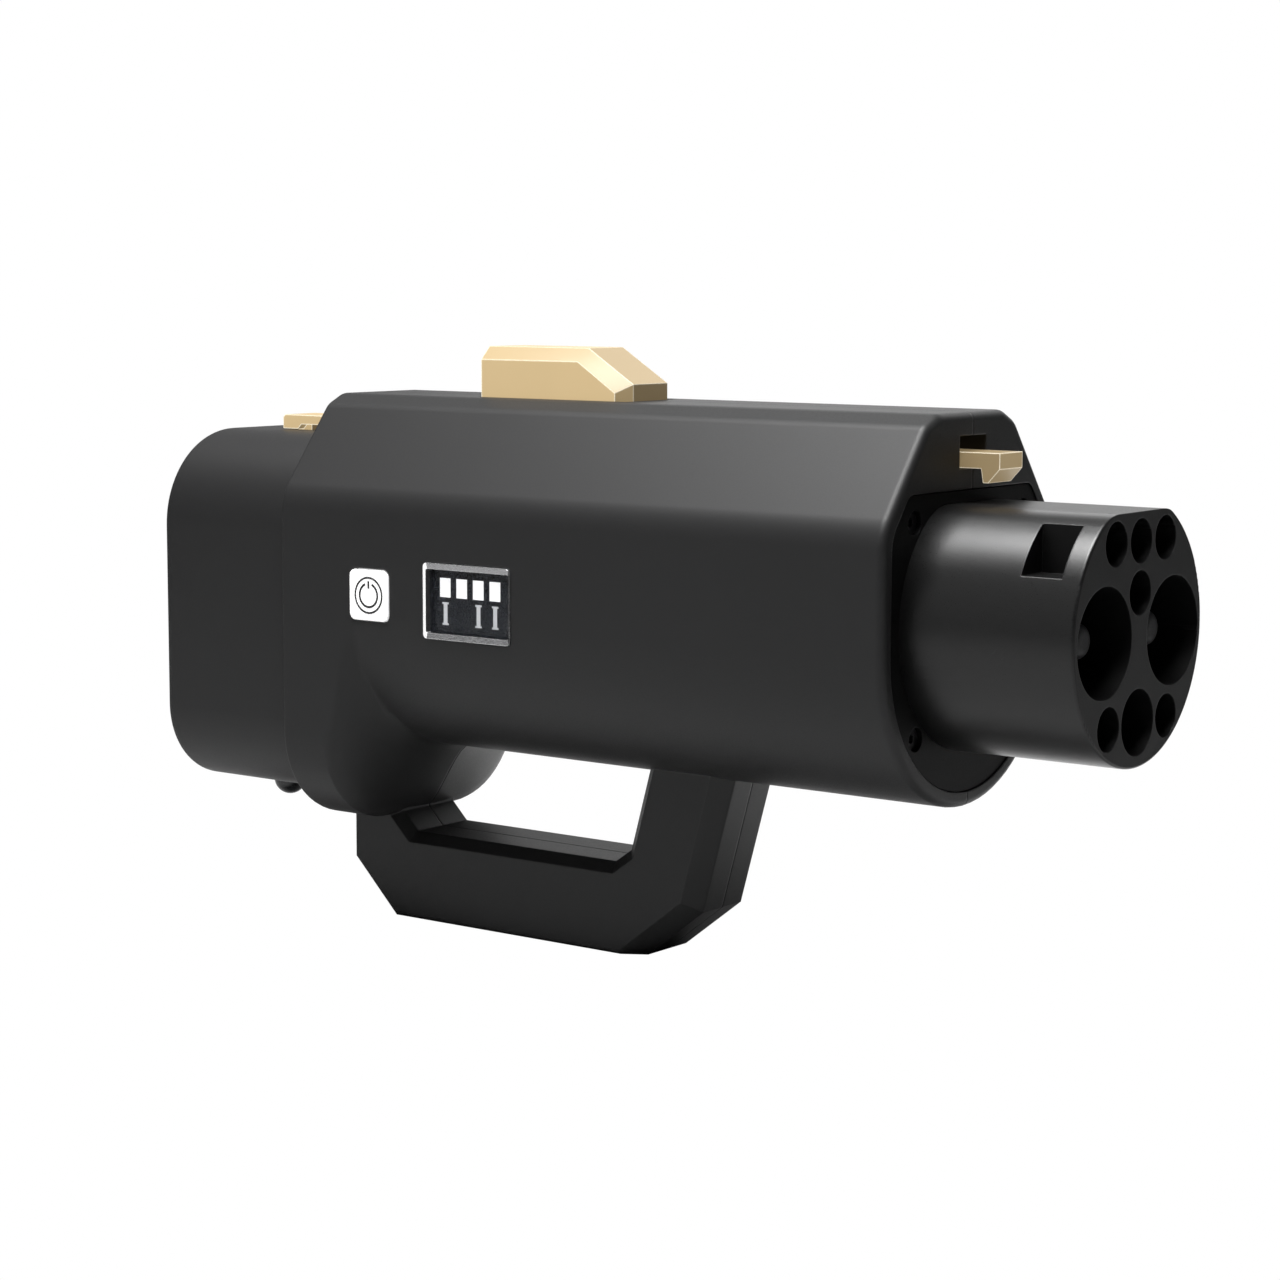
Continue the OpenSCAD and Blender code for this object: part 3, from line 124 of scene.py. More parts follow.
def map_range(tree, value, source, target=(0.0, 1.0), **settings):
    """A value carried from one range to another, and held at the ends."""
    made = node(tree, "ShaderNodeMapRange", **settings)
    for end, number in zip(("From Min", "From Max", "To Min", "To Max"), (*source, *target)):
        made.inputs[end].default_value = number
    tree.links.new(value, made.inputs["Value"])
    return made.outputs["Result"]


def product(tree, first, second):
    """Two values, each a socket or a number, multiplied."""
    made = node(tree, "ShaderNodeMath", operation="MULTIPLY")
    feed(tree, first, made.inputs[0])
    feed(tree, second, made.inputs[1])
    return made.outputs[0]


def colour_mix(tree, factor, first, second):
    """Two colours, each a socket or four numbers, mixed by a socket."""
    made = node(tree, "ShaderNodeMix", data_type="RGBA")
    tree.links.new(factor, made.inputs[MIX_FACTOR])
    feed(tree, first, made.inputs[COLOUR_A])
    feed(tree, second, made.inputs[COLOUR_B])
    return made.outputs[COLOUR_OUT]


def noise(tree, vector, scale, **settings):
    """A noise of 0 to 1 whose scale is per metre."""
    made = node(tree, "ShaderNodeTexNoise", Scale=scale, **settings)
    tree.links.new(vector, made.inputs["Vector"])
    return made.outputs["Fac"]


# ---------- materials ----------

DRIFT_SCALE = 18.0              # of the slow colour drift, per metre
NOISE_MIDDLE = (0.3, 0.7)       # where most of the grain's values lie
FLAT_DOT = 0.995                # rounded normal on true normal, on a flat
END_TURN = (0.15, 0.95)         # X of the normal, from a side to an end face
STRIPE_SCALE = 260.0
STRIPE_COLOUR = (0.55, 0.57, 0.6, 1)
STRIPE_LEVELS = (0.86, 1.0)     # share of white, in a stripe and between two
SEGMENT_GLOW = 1.25
SMEAR_SCALE = 90.0
GLASS_COLOUR = (0.03, 0.035, 0.045, 1)
GLASS_ROUGHNESS = (0.03, 0.12)
GLASS_ALPHA = 0.18


def edge_highlight_mask(tree, bevel, sense):
    """0 on flats and 1 on edges, where a highlight is painted: how far the bevel's rounded normal
    turns from the true one.
    """
    geometry = node(tree, "ShaderNodeNewGeometry")
    dot = node(tree, "ShaderNodeVectorMath", operation="DOT_PRODUCT")
    tree.links.new(bevel.outputs["Normal"], dot.inputs[0])
    tree.links.new(geometry.outputs["Normal"], dot.inputs[1])
    return map_range(tree, dot.outputs["Value"], (FLAT_DOT, sense))


def surface(name, dark, light, rough, grain, grain_size=0.35, metallic=0.0, edge=None,
            edge_radius=0.5, specular=0.5, rough_spread=0.08, stretch=None, glow=0.0,
            painted_end_glow=None, painted_shade_span=None, sense=0.86):
    """A procedural finish.

    dark, light: ends of a slow colour drift
    rough, rough_spread: middle of the roughness and how far the grain moves it
    grain, grain_size: height and width of the grain in mm
    stretch: scale of the grain along each axis, for a brushed look
    edge: colour of a painted highlight on the edges, which are rounded by edge_radius mm for the
    light
    sense: dot of the normals where the edge colour is full, nearer 1 for shallow edges
    glow, painted_end_glow: own light on all sides, and on faces that look towards +X; on pieces
    that are no lamps it is painted light
    painted_shade_span: X where colour and shine are least, X where they are full (both mm), and the
    least; a painted shade
    """
    mat, tree, shader = new_material(name)
    coords = node(tree, "ShaderNodeTexCoord")
    place = coords.outputs["Object"]
    grain_place = place
    if stretch:
        mapping = node(tree, "ShaderNodeMapping")
        mapping.inputs["Scale"].default_value = stretch
        tree.links.new(place, mapping.inputs["Vector"])
        grain_place = mapping.outputs["Vector"]
    drift = noise(tree, place, DRIFT_SCALE, Detail=5.0, Roughness=0.6)
    fine = noise(tree, grain_place, 1 / MM / grain_size, Detail=3.0, Roughness=0.65)
    bevel = node(tree, "ShaderNodeBevel", samples=6, Radius=edge_radius * MM)

    colour = colour_mix(tree, drift, (*dark, 1), (*light, 1))
    # A lighter colour on the edges: a painted highlight.
    if edge:
        colour = colour_mix(tree, edge_highlight_mask(tree, bevel, sense), colour, (*edge, 1))
    shine = specular
    # Darker and less shiny towards one end in X: a painted shade.
    if painted_shade_span:
        start, stop, least = painted_shade_span
        strength = map_range(tree, component(tree, place, "X"), (start * MM, stop * MM),
                             (least, 1.0), interpolation_type="SMOOTHSTEP")
        dim = node(tree, "ShaderNodeVectorMath", operation="SCALE")
        tree.links.new(colour, dim.inputs[0])
        tree.links.new(strength, dim.inputs["Scale"])
        colour = dim.outputs["Vector"]
        shine = product(tree, strength, specular)
    tree.links.new(colour, shader.inputs["Base Color"])
    feed(tree, shine, shader.inputs["Specular IOR Level"])
    shader.inputs["Metallic"].default_value = metallic

    roughness = map_range(tree, fine, NOISE_MIDDLE, (rough - rough_spread, rough + rough_spread))
    tree.links.new(roughness, shader.inputs["Roughness"])
    bump = node(tree, "ShaderNodeBump", Strength=1.0, Distance=grain * MM)
    tree.links.new(fine, bump.inputs["Height"])
    tree.links.new(bevel.outputs["Normal"], bump.inputs["Normal"])
    tree.links.new(bump.outputs["Normal"], shader.inputs["Normal"])

    # Own light (emission): painted light on every piece that is no lamp; painted_end_glow sets it
    # on faces towards +X.
    if glow:
        strength = glow
        if painted_end_glow is not None:
            turn = component(tree, coords.outputs["Normal"], "X")
            strength = map_range(tree, turn, END_TURN, (glow, painted_end_glow))
        tree.links.new(colour, shader.inputs["Emission Color"])
        feed(tree, strength, shader.inputs["Emission Strength"])
    return mat


def grey(level, blue=None):
    """A grey whose blue may differ a little."""
    return level, level, level if blue is None else blue


# Outer plastics
BODY = surface("body_black", grey(0.0095, 0.0098), grey(0.0125, 0.0128), 0.50, grain=0.012,
               grain_size=0.30, edge=grey(0.028, 0.029), edge_radius=0.7, specular=0.42)
PLATE = surface("plate_black", grey(0.0016, 0.0017), grey(0.0026, 0.0027), 0.52, grain=0.010,
                grain_size=0.28, edge=grey(0.008), edge_radius=0.3, specular=0.12)
# The nose darkens towards the plate: a painted shade.
NOSE = surface("nose_black", grey(0.0026, 0.0027), grey(0.0040, 0.0041), 0.34, grain=0.008,
               grain_size=0.25, edge=grey(0.026, 0.027), specular=0.50, painted_shade_span=(-71, -58, 0.25))
# The nose's holes are darker than its barrel: a painted shade.
HOLE_SHADE = surface("hole_painted_shade", grey(0.0016, 0.0017), grey(0.0024, 0.0025), 0.5, grain=0.008,
               grain_size=0.25, edge=grey(0.010), edge_radius=0.3, specular=0.18)
NOSE_END = surface("nose_end_black", grey(0.0085, 0.0087), grey(0.0115, 0.0117), 0.55, grain=0.012,
                   grain_size=0.3, edge=grey(0.026, 0.027), specular=0.30)
SHROUD = surface("shroud_black", grey(0.0095, 0.0098), grey(0.0125, 0.0128), 0.47, grain=0.010,
                 grain_size=0.28, edge=grey(0.028, 0.029), edge_radius=0.8, specular=0.42)
INSERT = surface("insert_black", grey(0.014, 0.015), grey(0.019, 0.020), 0.52, grain=0.012,
                 grain_size=0.4, edge=grey(0.04), edge_radius=0.4)
INNER = surface("inner_black", grey(0.020, 0.021), grey(0.028, 0.029), 0.5, grain=0.01,
                edge_radius=0.3)
RUBBER = surface("rubber_black", (0.006, 0.007, 0.008), (0.010, 0.011, 0.013), 0.22, grain=0.003,
                 grain_size=1.2, edge_radius=0.6, specular=0.6)
# The white key glows a little: painted light.
WHITE = surface("button_white", grey(0.86), grey(0.92), 0.34, grain=0.003, grain_size=0.3,
                edge=grey(0.95), glow=0.5)

# Metals
DARK_STEEL = surface("dark_screw_steel", grey(0.008, 0.009), grey(0.014, 0.015), 0.42, grain=0.004,
                     grain_size=0.3, metallic=0.4, edge=grey(0.04), edge_radius=0.2)
STEEL = surface("plain_steel", grey(0.46, 0.48), grey(0.58, 0.60), 0.30, grain=0.004,
                grain_size=0.2, metallic=1.0, edge=grey(0.75, 0.76), edge_radius=0.2)
SILVER = surface("silver_contact", (0.62, 0.60, 0.57), (0.76, 0.75, 0.73), 0.24, grain=0.003,
                 grain_size=0.15, metallic=1.0, edge_radius=0.2, stretch=(0.05, 1.0, 1.0))
COPPER = surface("bar_copper", (0.62, 0.30, 0.16), (0.74, 0.38, 0.21), 0.30, grain=0.005,
                 grain_size=0.2, metallic=1.0, edge=(0.85, 0.5, 0.3), edge_radius=0.3,
                 stretch=(0.06, 1.0, 1.0))

# Gilt pieces. They have light of their own, which is painted light: GOLD glows most on its sides,
# TONGUE most on faces towards +X.
GILT = {"dark": (0.135, 0.100, 0.053), "light": (0.150, 0.113, 0.061), "grain": 0.004,
        "grain_size": 0.18, "rough_spread": 0.05, "sense": 0.96}
GOLD = surface("champagne_gold", rough=0.42, edge=(0.26, 0.24, 0.19), specular=0.4, glow=3.8,
               painted_end_glow=0.7, **GILT)
TONGUE = surface("hook_gold", rough=0.36, edge=(0.46, 0.42, 0.33), edge_radius=0.4, glow=1.35,
                 painted_end_glow=1.9, **GILT)

# Screen and marks
BEZEL = surface("bezel_bright", grey(0.42, 0.43), grey(0.54, 0.55), 0.26, grain=0.002,
                grain_size=0.2, metallic=0.85, edge=grey(0.85), edge_radius=0.3,
                stretch=(0.08, 1.0, 1.0))
# Dark and bright copies of the frame's finish: a painted shade and a painted highlight on the
# window's slopes.
SHADED_RIM = surface("bezel_painted_shade", grey(0.006, 0.007), grey(0.010, 0.011), 0.3, grain=0.002,
                   edge_radius=0.1)
HIGHLIGHT_RIM = surface("bezel_painted_highlight", grey(0.80), grey(0.90), 0.25, grain=0.002, metallic=0.3,
                     edge_radius=0.2, glow=0.45)
SCREEN = surface("screen_black", (0.010, 0.011, 0.014), (0.016, 0.018, 0.022), 0.25, grain=0.001,
                 grain_size=0.5, edge_radius=0.2)
MARK = surface("mark_grey", grey(0.006, 0.007), grey(0.010, 0.011), 0.5, grain=0.002,
               edge_radius=0.05)
FAINT = surface("faint_mark", (0.55, 0.56, 0.58), (0.75, 0.76, 0.78), 0.4, grain=0.002,
                edge_radius=0.05, glow=0.75)

# Inner pieces
BOARD = surface("board_green", (0.006, 0.06, 0.022), (0.010, 0.09, 0.034), 0.34, grain=0.004,
                grain_size=0.8, edge=(0.25, 0.22, 0.12), edge_radius=0.2)
SLEEVE = surface("battery_sleeve", (0.012, 0.05, 0.18), (0.016, 0.065, 0.23), 0.25, grain=0.01,
                 grain_size=2.0, edge_radius=0.6)
WIRE = surface("wire_black", grey(0.010, 0.011), grey(0.016, 0.017), 0.40, grain=0.004,
               grain_size=0.6, edge_radius=0.2)
CERAMIC = surface("fuse_ceramic", (0.66, 0.64, 0.58), (0.76, 0.74, 0.68), 0.35, grain=0.006,
                  grain_size=0.5, edge_radius=0.3)


def segment_material():
    """The screen's lit bars: white with fine, slightly darker stripes."""
    mat, tree, shader = new_material("segment_white")
    coords = node(tree, "ShaderNodeTexCoord")
    wave = node(tree, "ShaderNodeTexWave", Scale=STRIPE_SCALE)
    tree.links.new(coords.outputs["Object"], wave.inputs["Vector"])
    level = map_range(tree, wave.outputs["Fac"], (0.0, 1.0), STRIPE_LEVELS)
    colour = colour_mix(tree, level, STRIPE_COLOUR, PURE_WHITE)
    tree.links.new(colour, shader.inputs["Emission Color"])
    tree.links.new(colour, shader.inputs["Base Color"])
    shader.inputs["Emission Strength"].default_value = SEGMENT_GLOW
    return mat


def glass_material():
    """The screen's window: dark, mostly clear, with faint smears in its roughness."""
    mat, tree, shader = new_material("window_glass")
    coords = node(tree, "ShaderNodeTexCoord")
    smear = noise(tree, coords.outputs["Object"], SMEAR_SCALE, Detail=4.0)
    roughness = map_range(tree, smear, (0.0, 1.0), GLASS_ROUGHNESS)
    tree.links.new(roughness, shader.inputs["Roughness"])
    shader.inputs["Base Color"].default_value = GLASS_COLOUR
    shader.inputs["Alpha"].default_value = GLASS_ALPHA
    shader.inputs["IOR"].default_value = 1.5
    return mat


FINISHES = (        # material, CAD nodes that have it; every other node has INNER
    (BODY, ("housing_right", "housing_left")),
    (NOSE, ("plug_nose",)),
    (PLATE, ("face_plate",)),
    (SHROUD, ("inlet_shroud",)),
    (INSERT, ("inlet_plate", "inlet_upper_block", "inlet_lower_block", "plug_guard_rods",
              "inlet_pin_tips")),
    (RUBBER, ("flange_gasket", "drain_plug")),
    (DARK_STEEL, ("shell_screws", "flange_screws", "latch_arm")),
    (GOLD, ("release_button", "lock_tongue")),
    (TONGUE, ("latch_hook",)),
    (WHITE, ("power_button",)),
    (BEZEL, ("display_bezel",)),
    (glass_material(), ("display_window",)),
    (SCREEN, ("display_module",)),
    (segment_material(), ("display_segments",)),
    (BOARD, ("display_board", "main_board", "contact_board")),
    (SLEEVE, ("battery_pack",)),
    (CERAMIC, ("fuse",)),
    (SILVER, ("plug_power_sleeves", "plug_earth_sleeve", "plug_signal_sleeves",
              "inlet_power_pins", "inlet_earth_pin", "inlet_signal_pins")),
    (STEEL, ("inlet_screws", "lever_pin", "lever_spring", "tongue_pin", "tongue_spring",
             "board_screws", "battery_bracket")),
    (COPPER, ("busbar_rear_positive", "busbar_rear_negative", "busbar_front_positive",
              "busbar_front_negative", "earth_strap")),
    (WIRE, ("signal_loom_front", "signal_loom_rear")),
)
FINISH = {name: mat for mat, names in FINISHES for name in names}


def paint(obj, *mats):
    """Gives an object its materials. Each face keeps its own when there are several."""
    kept = [f.material_index for f in obj.data.polygons] if len(mats) > 1 else None
    obj.data.materials.clear()
    for mat in mats:
        obj.data.materials.append(mat)
    if kept:
        obj.data.polygons.foreach_set("material_index", kept)


for name, obj in nodes.items():
    paint(obj, FINISH.get(name, INNER))


# ---------- skins of the CAD nodes ----------

SKIN_WELD = 0.004       # points of a CAD node that are closer than this are one point
SLIVER = 0.003          # edges shorter than this are taken out
FLAT_TURN = 0.35        # degrees: faces that turn by less are one flat face
BEVEL_STEPS = 3


def body_name(node_name):
    return nodes[node_name]["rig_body"]


def new_piece(name, mesh, mats, body):
    obj = bpy.data.objects.new(name, mesh)
    scene.collection.objects.link(obj)
    paint(obj, *mats)
    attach(obj, body)
    return obj


def refined(node_name, name, crease=28, edge=0.0):
    """A cleaner skin of a CAD node: welded, with its flats merged and its normals weighted.

    Edges that turn by less than the crease, in degrees, are smooth. With an edge, in mm, the
    others are bevelled.
    """
    mesh = nodes[node_name].data.copy()
    if mesh.attributes.get("custom_normal"):
        mesh.attributes.remove(mesh.attributes["custom_normal"])
    work = bmesh.new()
    work.from_mesh(mesh)
    bmesh.ops.remove_doubles(work, verts=work.verts, dist=SKIN_WELD * MM)
    bmesh.ops.dissolve_degenerate(work, edges=work.edges, dist=SLIVER * MM)
    bmesh.ops.dissolve_limit(work, verts=work.verts, edges=work.edges,
                             angle_limit=math.radians(FLAT_TURN))
    limit = math.radians(crease)
    for e in work.edges:
        e.smooth = len(e.link_faces) == 2 and e.calc_face_angle(0.0) < limit
    for f in work.faces:
        f.smooth = True
    work.to_mesh(mesh)
    work.free()
    mats = (FINISH.get(node_name, INNER),)
    obj = new_piece(name, mesh, mats, body_name(node_name))
    if edge:
        soften = obj.modifiers.new("soften", "BEVEL")
        soften.width = edge * MM
        soften.segments = BEVEL_STEPS
        soften.limit_method = "ANGLE"
        soften.angle_limit = limit
        soften.harden_normals = False
        soften.use_clamp_overlap = True
    weight = obj.modifiers.new("weight", "WEIGHTED_NORMAL")
    weight.keep_sharp = not edge
    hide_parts(node_name)
    return obj


refined("housing_right", "shell_display_side", crease=24)
refined("housing_left", "shell_screw_side", crease=24)
barrel = refined("plug_nose", "nose_barrel", crease=24)
refined("face_plate", "nose_plate", crease=24)
refined("inlet_shroud", "rear_shroud", crease=24)
refined("inlet_plate", "contact_plate", crease=24)
refined("inlet_upper_block", "upper_contacts", crease=24)
refined("inlet_lower_block", "lower_contacts", crease=24)
refined("release_button", "release_key")
refined("latch_hook", "front_hook")
refined("lock_tongue", "rear_tongue")
power_key = refined("power_button", "power_key", edge=0.3)
refined("drain_plug", "rubber_foot", crease=40)

# The nose is darker in its holes, a painted shade, and duller on its end face than around its
# barrel.
FACE_X = -0.3           # just behind the end face
CORE_RADIUS = 32.0      # just inside the barrel's skin
CORE_TOP = 25.8         # just under the flat on its top
FORWARD = 0.9           # least X of the normal on the end face
ON_BARREL, IN_HOLES, ON_END = 0, 1, 2
for face in barrel.data.polygons:
    c = face.center / MM
    if c.x < FACE_X and math.hypot(c.y, c.z) < CORE_RADIUS and c.z < CORE_TOP:
        face.material_index = IN_HOLES
    else:
        face.material_index = ON_END if c.x > FACE_X and face.normal.x > FORWARD else ON_BARREL
paint(barrel, NOSE, HOLE_SHADE, NOSE_END)

# The power key's front moves in, which leaves room for the symbol within the CAD box.
KEY_SINK = 0.05
KEY_FLAT = 0.01         # the front is what lies within this of the foremost point
key_front = min(v.co.y for v in power_key.data.vertices)
for v in power_key.data.vertices:
    if v.co.y < key_front + KEY_FLAT * MM:
        v.co.y += KEY_SINK * MM


# ---------- new pieces ----------

def plan(box):
    """Middle and size of a box in the X-Z plane, in mm."""
    low, high = box
    return (((low.x + high.x) / 2 / MM, (low.z + high.z) / 2 / MM),
            ((high.x - low.x) / MM, (high.z - low.z) / MM))


def ring_sector(work, centre, y, inner, outer, start, end, steps, depth):
    """A flat arc in the X-Z plane between two radii and two angles, with its face towards -Y."""
    rows = []
    for i in range(steps + 1):
        a = math.radians(start + (end - start) * i / steps)
        c, s = math.cos(a), math.sin(a)
        corners = ((inner, y), (outer, y), (outer, y + depth), (inner, y + depth))
        rows.append([work.verts.new(((centre[0] + r * c) * MM, yy * MM, (centre[1] + r * s) * MM))
                     for r, yy in corners])
    for a, b in zip(rows, rows[1:]):
        for k in range(4):
            work.faces.new((a[k], b[k], b[(k + 1) % 4], a[(k + 1) % 4]))
    if abs(end - start) < 360:
        work.faces.new(rows[0][::-1])
        work.faces.new(rows[-1])


def bar(work, x0, x1, y, z0, z1, depth):
    """A block with its face towards -Y."""
    outline = ((x0, z0), (x1, z0), (x1, z1), (x0, z1))
    v = [work.verts.new((x * MM, yy * MM, z * MM)) for yy in (y, y + depth) for x, z in outline]
    for face in ((0, 1, 2, 3), (7, 6, 5, 4), (0, 4, 5, 1), (1, 5, 6, 2), (2, 6, 7, 3),
                 (3, 7, 4, 0)):
        work.faces.new([v[i] for i in face])


def rounded_loop(centre, width, height, radius, steps=5):
    """Points of a rounded rectangle in the X-Z plane."""
    loop = []
    for quarter, (sx, sz) in enumerate(((1, 1), (-1, 1), (-1, -1), (1, -1))):
        for k in range(steps + 1):
            a = math.radians(90 * quarter + 90 * k / steps)
            loop.append((centre[0] + sx * (width / 2 - radius) + radius * math.cos(a),
                         centre[1] + sz * (height / 2 - radius) + radius * math.sin(a)))
    return loop


def skin(work, rings, materials):
    """Quads from ring to ring. Each step has a material index, or a function of a quad's middle."""
    made = [[work.verts.new((x * MM, y * MM, z * MM)) for x, z in ring] for ring, y in rings]
    for level, (one, two) in enumerate(zip(made, made[1:])):
        for i in range(len(one)):
            j = (i + 1) % len(one)
            face = work.faces.new((one[i], one[j], two[j], two[i]))
            pick = materials[level]
            face.material_index = pick(face.calc_center_median() / MM) if callable(pick) else pick


def finished(work, name, mats, body):
    """The piece made of a worked mesh, welded and with its faces turned outwards."""
    bmesh.ops.remove_doubles(work, verts=work.verts, dist=WELD)
    bmesh.ops.recalc_face_normals(work, faces=work.faces)
    mesh = bpy.data.meshes.new(name)
    for mat in mats:
        mesh.materials.append(mat)
    work.to_mesh(mesh)
    work.free()
    return new_piece(name, mesh, mats, body)


# The screen's frame: a flange, a raised rim and a slope down to the window.
# The opening's walls and the slope at the window's front end have a painted shade, the slope at its
# rear end a painted highlight.
FRAME_FINISH = (BEZEL, SHADED_RIM, HIGHLIGHT_RIM)
SATIN, SHADED_FACES, LIT_FACES = 0, 1, 2
WINDOW_PLAY = 0.1       # opening less window
OPENING_ROUND = 0.6
REAR_SLOPE = 1.0        # width of the slope at the window's rear end
SLOPE_TOP = 0.1         # its upper edge, behind the frame's front
SLOPE_FOOT = 0.9        # its lower edge, behind the frame's front
FLANGE_WIDTH = 1.5
FLANGE_THICK = 1.0
FLANGE_ROUND = 1.2

low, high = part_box("display_bezel")
middle, size = plan((low, high))
hole_middle, window = plan(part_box("display_window"))
opening = (window[0] + WINDOW_PLAY, window[1] + WINDOW_PLAY)
front, behind = low.y / MM, high.y / MM


def slope_finish(point):
    """A painted highlight at the rear end of the window, a painted shade at its front end, satin
    above and below it.
    """
    if point.x < hole_middle[0] - opening[0] / 2:
        return LIT_FACES
    return SHADED_FACES if point.x > hole_middle[0] + opening[0] / 2 else SATIN


hole = rounded_loop(hole_middle, *opening, OPENING_ROUND)
ridge = rounded_loop((hole_middle[0] - REAR_SLOPE / 2, hole_middle[1]), opening[0] + REAR_SLOPE,
                     opening[1], OPENING_ROUND)
rim = rounded_loop(middle, size[0] - 2 * FLANGE_WIDTH, size[1] - 2 * FLANGE_WIDTH, FLANGE_ROUND)
flange = rounded_loop(middle, *size, FLANGE_ROUND)
screen_frame = bmesh.new()
skin(screen_frame,
     [(hole, behind), (hole, front + SLOPE_FOOT), (ridge, front + SLOPE_TOP), (rim, front),
      (rim, behind - FLANGE_THICK), (flange, behind - FLANGE_THICK), (flange, behind),
      (hole, behind)],
     [SHADED_FACES, SHADED_FACES, slope_finish, SATIN, SATIN, SATIN, SATIN])
bezel = finished(screen_frame, "screen_frame", FRAME_FINISH, body_name("display_bezel"))
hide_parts("display_bezel")

# The symbol on the power key: a ring, and in it an open arc with an upright stroke.
RING = (4.70, 5.25)             # inner and outer radius
ARC = (3.00, 3.62)
ARC_ANGLES = (112, 428)         # open by 44 degrees at the top
STROKE_HALF = 0.32
STROKE = (1.9, 4.0)             # lower and upper end above the key's middle
RING_STEPS, ARC_STEPS = 96, 64
MARK_MIDDLE = 0.04              # behind the front of the CAD key
MARK_DEPTH = 0.06

low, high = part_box("power_button")
key_middle = plan((low, high))[0]
mark_y = low.y / MM + MARK_MIDDLE - MARK_DEPTH / 2
icon = bmesh.new()
ring_sector(icon, key_middle, mark_y, *RING, 0, 360, RING_STEPS, MARK_DEPTH)
ring_sector(icon, key_middle, mark_y, *ARC, *ARC_ANGLES, ARC_STEPS, MARK_DEPTH)
bar(icon, key_middle[0] - STROKE_HALF, key_middle[0] + STROKE_HALF, mark_y,
    key_middle[1] + STROKE[0], key_middle[1] + STROKE[1], MARK_DEPTH)
finished(icon, "power_symbol", (MARK,), "key")

# Plain strokes under the first, third and fourth bar of the screen.
BAR_WIDTH = 3.7
BARS = 4
STROKE_X = 1.9                  # from a bar's rear side to the stroke's middle
STROKE_INSET = 0.05             # behind the front of the bars
STROKE_DEPTH = 0.1
STROKE_PARTS = (                # half a width, then bottom and top, below the bars
    (0.65, 7.2, 1.9),
    (1.1, 1.9, 1.4),
    (1.1, 7.7, 7.2),
)

low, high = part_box("display_segments")
rear_x, front_x = low.x / MM, high.x / MM
pitch = (front_x - rear_x - BAR_WIDTH) / (BARS - 1)
bars_bottom = low.z / MM
stroke_y = low.y / MM + STROKE_INSET
marks = bmesh.new()
for i in (0, 2, 3):
    x = rear_x + pitch * i + STROKE_X
    for half, bottom, top in STROKE_PARTS:
        bar(marks, x - half, x + half, stroke_y, bars_bottom - bottom, bars_bottom - top,
            STROKE_DEPTH)
finished(marks, "screen_marks", (FAINT,), "base")


# ---------- camera ----------

# Fitted to the photo.
PHOTO_WIDTH = 1280              # pixels
FOCAL_LENGTH = 2923.5           # pixels
SENSOR_WIDTH = 36.0
AZIMUTH, ELEVATION, ROLL = math.radians(36.9), math.radians(7.08), math.radians(0.17)
CAMERA_PLACE = (0.3330, -0.6497, 0.0873)
CLIP_START = 0.01

back = Vector((math.sin(AZIMUTH) * math.cos(ELEVATION), -math.cos(AZIMUTH) * math.cos(ELEVATION),
               math.sin(ELEVATION)))
right = Vector((0, 0, 1)).cross(back).normalized()
up = back.cross(right)
turned = Matrix.Rotation(ROLL, 3, back)
right, up = turned @ right, turned @ up
lens = bpy.data.cameras.new("camera")
lens.sensor_width = SENSOR_WIDTH
lens.lens = FOCAL_LENGTH / PHOTO_WIDTH * SENSOR_WIDTH
lens.clip_start = CLIP_START
camera = bpy.data.objects.new("camera", lens)
scene.collection.objects.link(camera)
axes = Matrix((right, up, back)).transposed().to_4x4()
camera.matrix_world = Matrix.Translation(CAMERA_PLACE) @ axes
scene.camera = camera


# ---------- floor ----------

FLOOR_HALF = 6.0                # metres
FLOOR_GREYS = (grey(0.33), grey(0.38))
FLOOR_DRIFT = 3.0               # scale of the drift between them
FLOOR_ROUGHNESS = 0.9
BOUNCE = 0.8                    # own light of the floor behind the part
BOUNCE_Y = (0.0, 0.12)          # it grows from the part's middle plane backwards
BOUNCE_X = (0.04, -0.04)        # and ends just ahead of the nose

floor_mesh = bpy.data.meshes.new("floor")
grid = bmesh.new()
bmesh.ops.create_grid(grid, x_segments=4, y_segments=4, size=FLOOR_HALF)
grid.to_mesh(floor_mesh)
grid.free()
floor = bpy.data.objects.new("floor", floor_mesh)
floor.location = (0, 0, cad_box[0][2])
scene.collection.objects.link(floor)


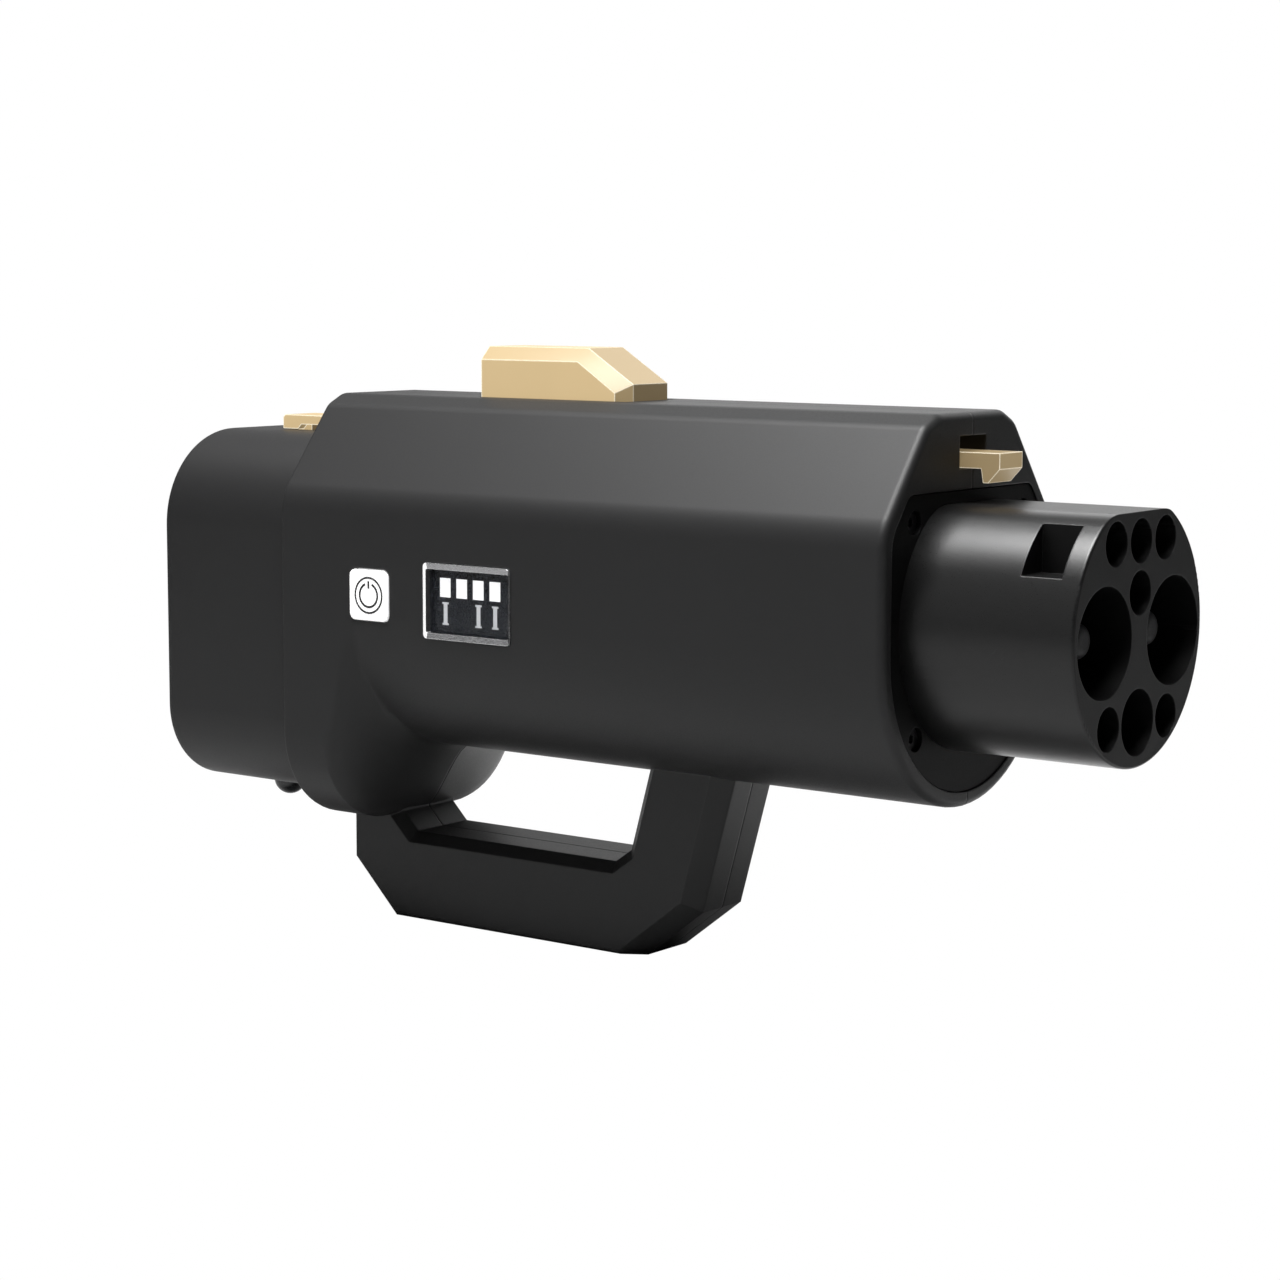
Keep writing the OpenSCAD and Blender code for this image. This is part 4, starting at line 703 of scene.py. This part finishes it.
def backdrop_material():
    """White to the camera, and pale grey with a lit patch behind the part to everything else.

    It can't be seen from below.
    """
    mat, tree, shader = new_material("pale_floor")
    path = node(tree, "ShaderNodeLightPath")
    white = node(tree, "ShaderNodeEmission", Strength=1.0)
    white.inputs["Color"].default_value = PURE_WHITE
    coords = node(tree, "ShaderNodeTexCoord")
    place = coords.outputs["Object"]
    dark, light = FLOOR_GREYS
    tint = colour_mix(tree, noise(tree, place, FLOOR_DRIFT), (*dark, 1), (*light, 1))
    tree.links.new(tint, shader.inputs["Base Color"])
    patch = product(tree, map_range(tree, component(tree, place, "Y"), BOUNCE_Y, (0.0, BOUNCE)),
                    map_range(tree, component(tree, place, "X"), BOUNCE_X))
    tree.links.new(patch, shader.inputs["Emission Strength"])
    shader.inputs["Emission Color"].default_value = PURE_WHITE
    shader.inputs["Roughness"].default_value = FLOOR_ROUGHNESS
    above = node(tree, "ShaderNodeMixShader")
    tree.links.new(path.outputs["Is Camera Ray"], above.inputs[0])
    tree.links.new(shader.outputs[0], above.inputs[1])
    tree.links.new(white.outputs[0], above.inputs[2])
    geometry = node(tree, "ShaderNodeNewGeometry")
    clear = node(tree, "ShaderNodeBsdfTransparent")
    sides = node(tree, "ShaderNodeMixShader")
    tree.links.new(geometry.outputs["Backfacing"], sides.inputs[0])
    tree.links.new(above.outputs[0], sides.inputs[1])
    tree.links.new(clear.outputs[0], sides.inputs[2])
    tree.links.new(sides.outputs[0], tree.nodes["Material Output"].inputs["Surface"])
    return mat


paint(floor, backdrop_material())


# ---------- light ----------

SKY_RAMPS = (       # axis, directions along it, light at both: their product is the sky's light
    ("Z", (-0.05, 0.9), (0.16, 0.50)),      # more from above
    ("Y", (0.0, 0.9), (0.25, 1.1)),         # more from behind the part
    ("X", (-0.2, 0.9), (1.0, 0.3)),         # less from ahead of the nose
)
LIT_MIDDLE = Vector((-0.150, 0.0, -0.020))  # where the softboxes point
SOFTBOXES = (       # name, place, width and height in m, watts
    ("overhead", (-0.17, -0.27, 1.10), (0.9, 0.4), 33.5),
    ("behind", (-0.50, 1.40, 0.75), (1.6, 0.8), 6.0),
    ("side_fill", (-0.75, -1.25, 0.45), (0.9, 0.9), 1.0),
)

world = bpy.data.worlds.new("studio")
scene.world = world
world.use_nodes = True
sky = world.node_tree
direction = node(sky, "ShaderNodeTexCoord").outputs["Generated"]
sky_light = 1.0
for axis, source, target in SKY_RAMPS:
    sky_light = product(sky, sky_light,
                        map_range(sky, component(sky, direction, axis), source, target))
shown = node(sky, "ShaderNodeMix", data_type="FLOAT")       # plain white to the camera
path = node(sky, "ShaderNodeLightPath")
sky.links.new(path.outputs["Is Camera Ray"], shown.inputs[MIX_FACTOR])
sky.links.new(sky_light, shown.inputs[FLOAT_A])
shown.inputs[FLOAT_B].default_value = 1.0
background = sky.nodes["Background"]
background.inputs["Color"].default_value = PURE_WHITE
sky.links.new(shown.outputs[FLOAT_OUT], background.inputs["Strength"])

for name, place, size, power in SOFTBOXES:
    light = bpy.data.lights.new(name, "AREA")
    light.shape = "RECTANGLE"
    light.size, light.size_y = size
    light.energy = power
    lamp = bpy.data.objects.new(name, light)
    scene.collection.objects.link(lamp)
    lamp.location = place
    lamp.rotation_euler = (LIT_MIDDLE - Vector(place)).to_track_quat("-Z", "Y").to_euler()
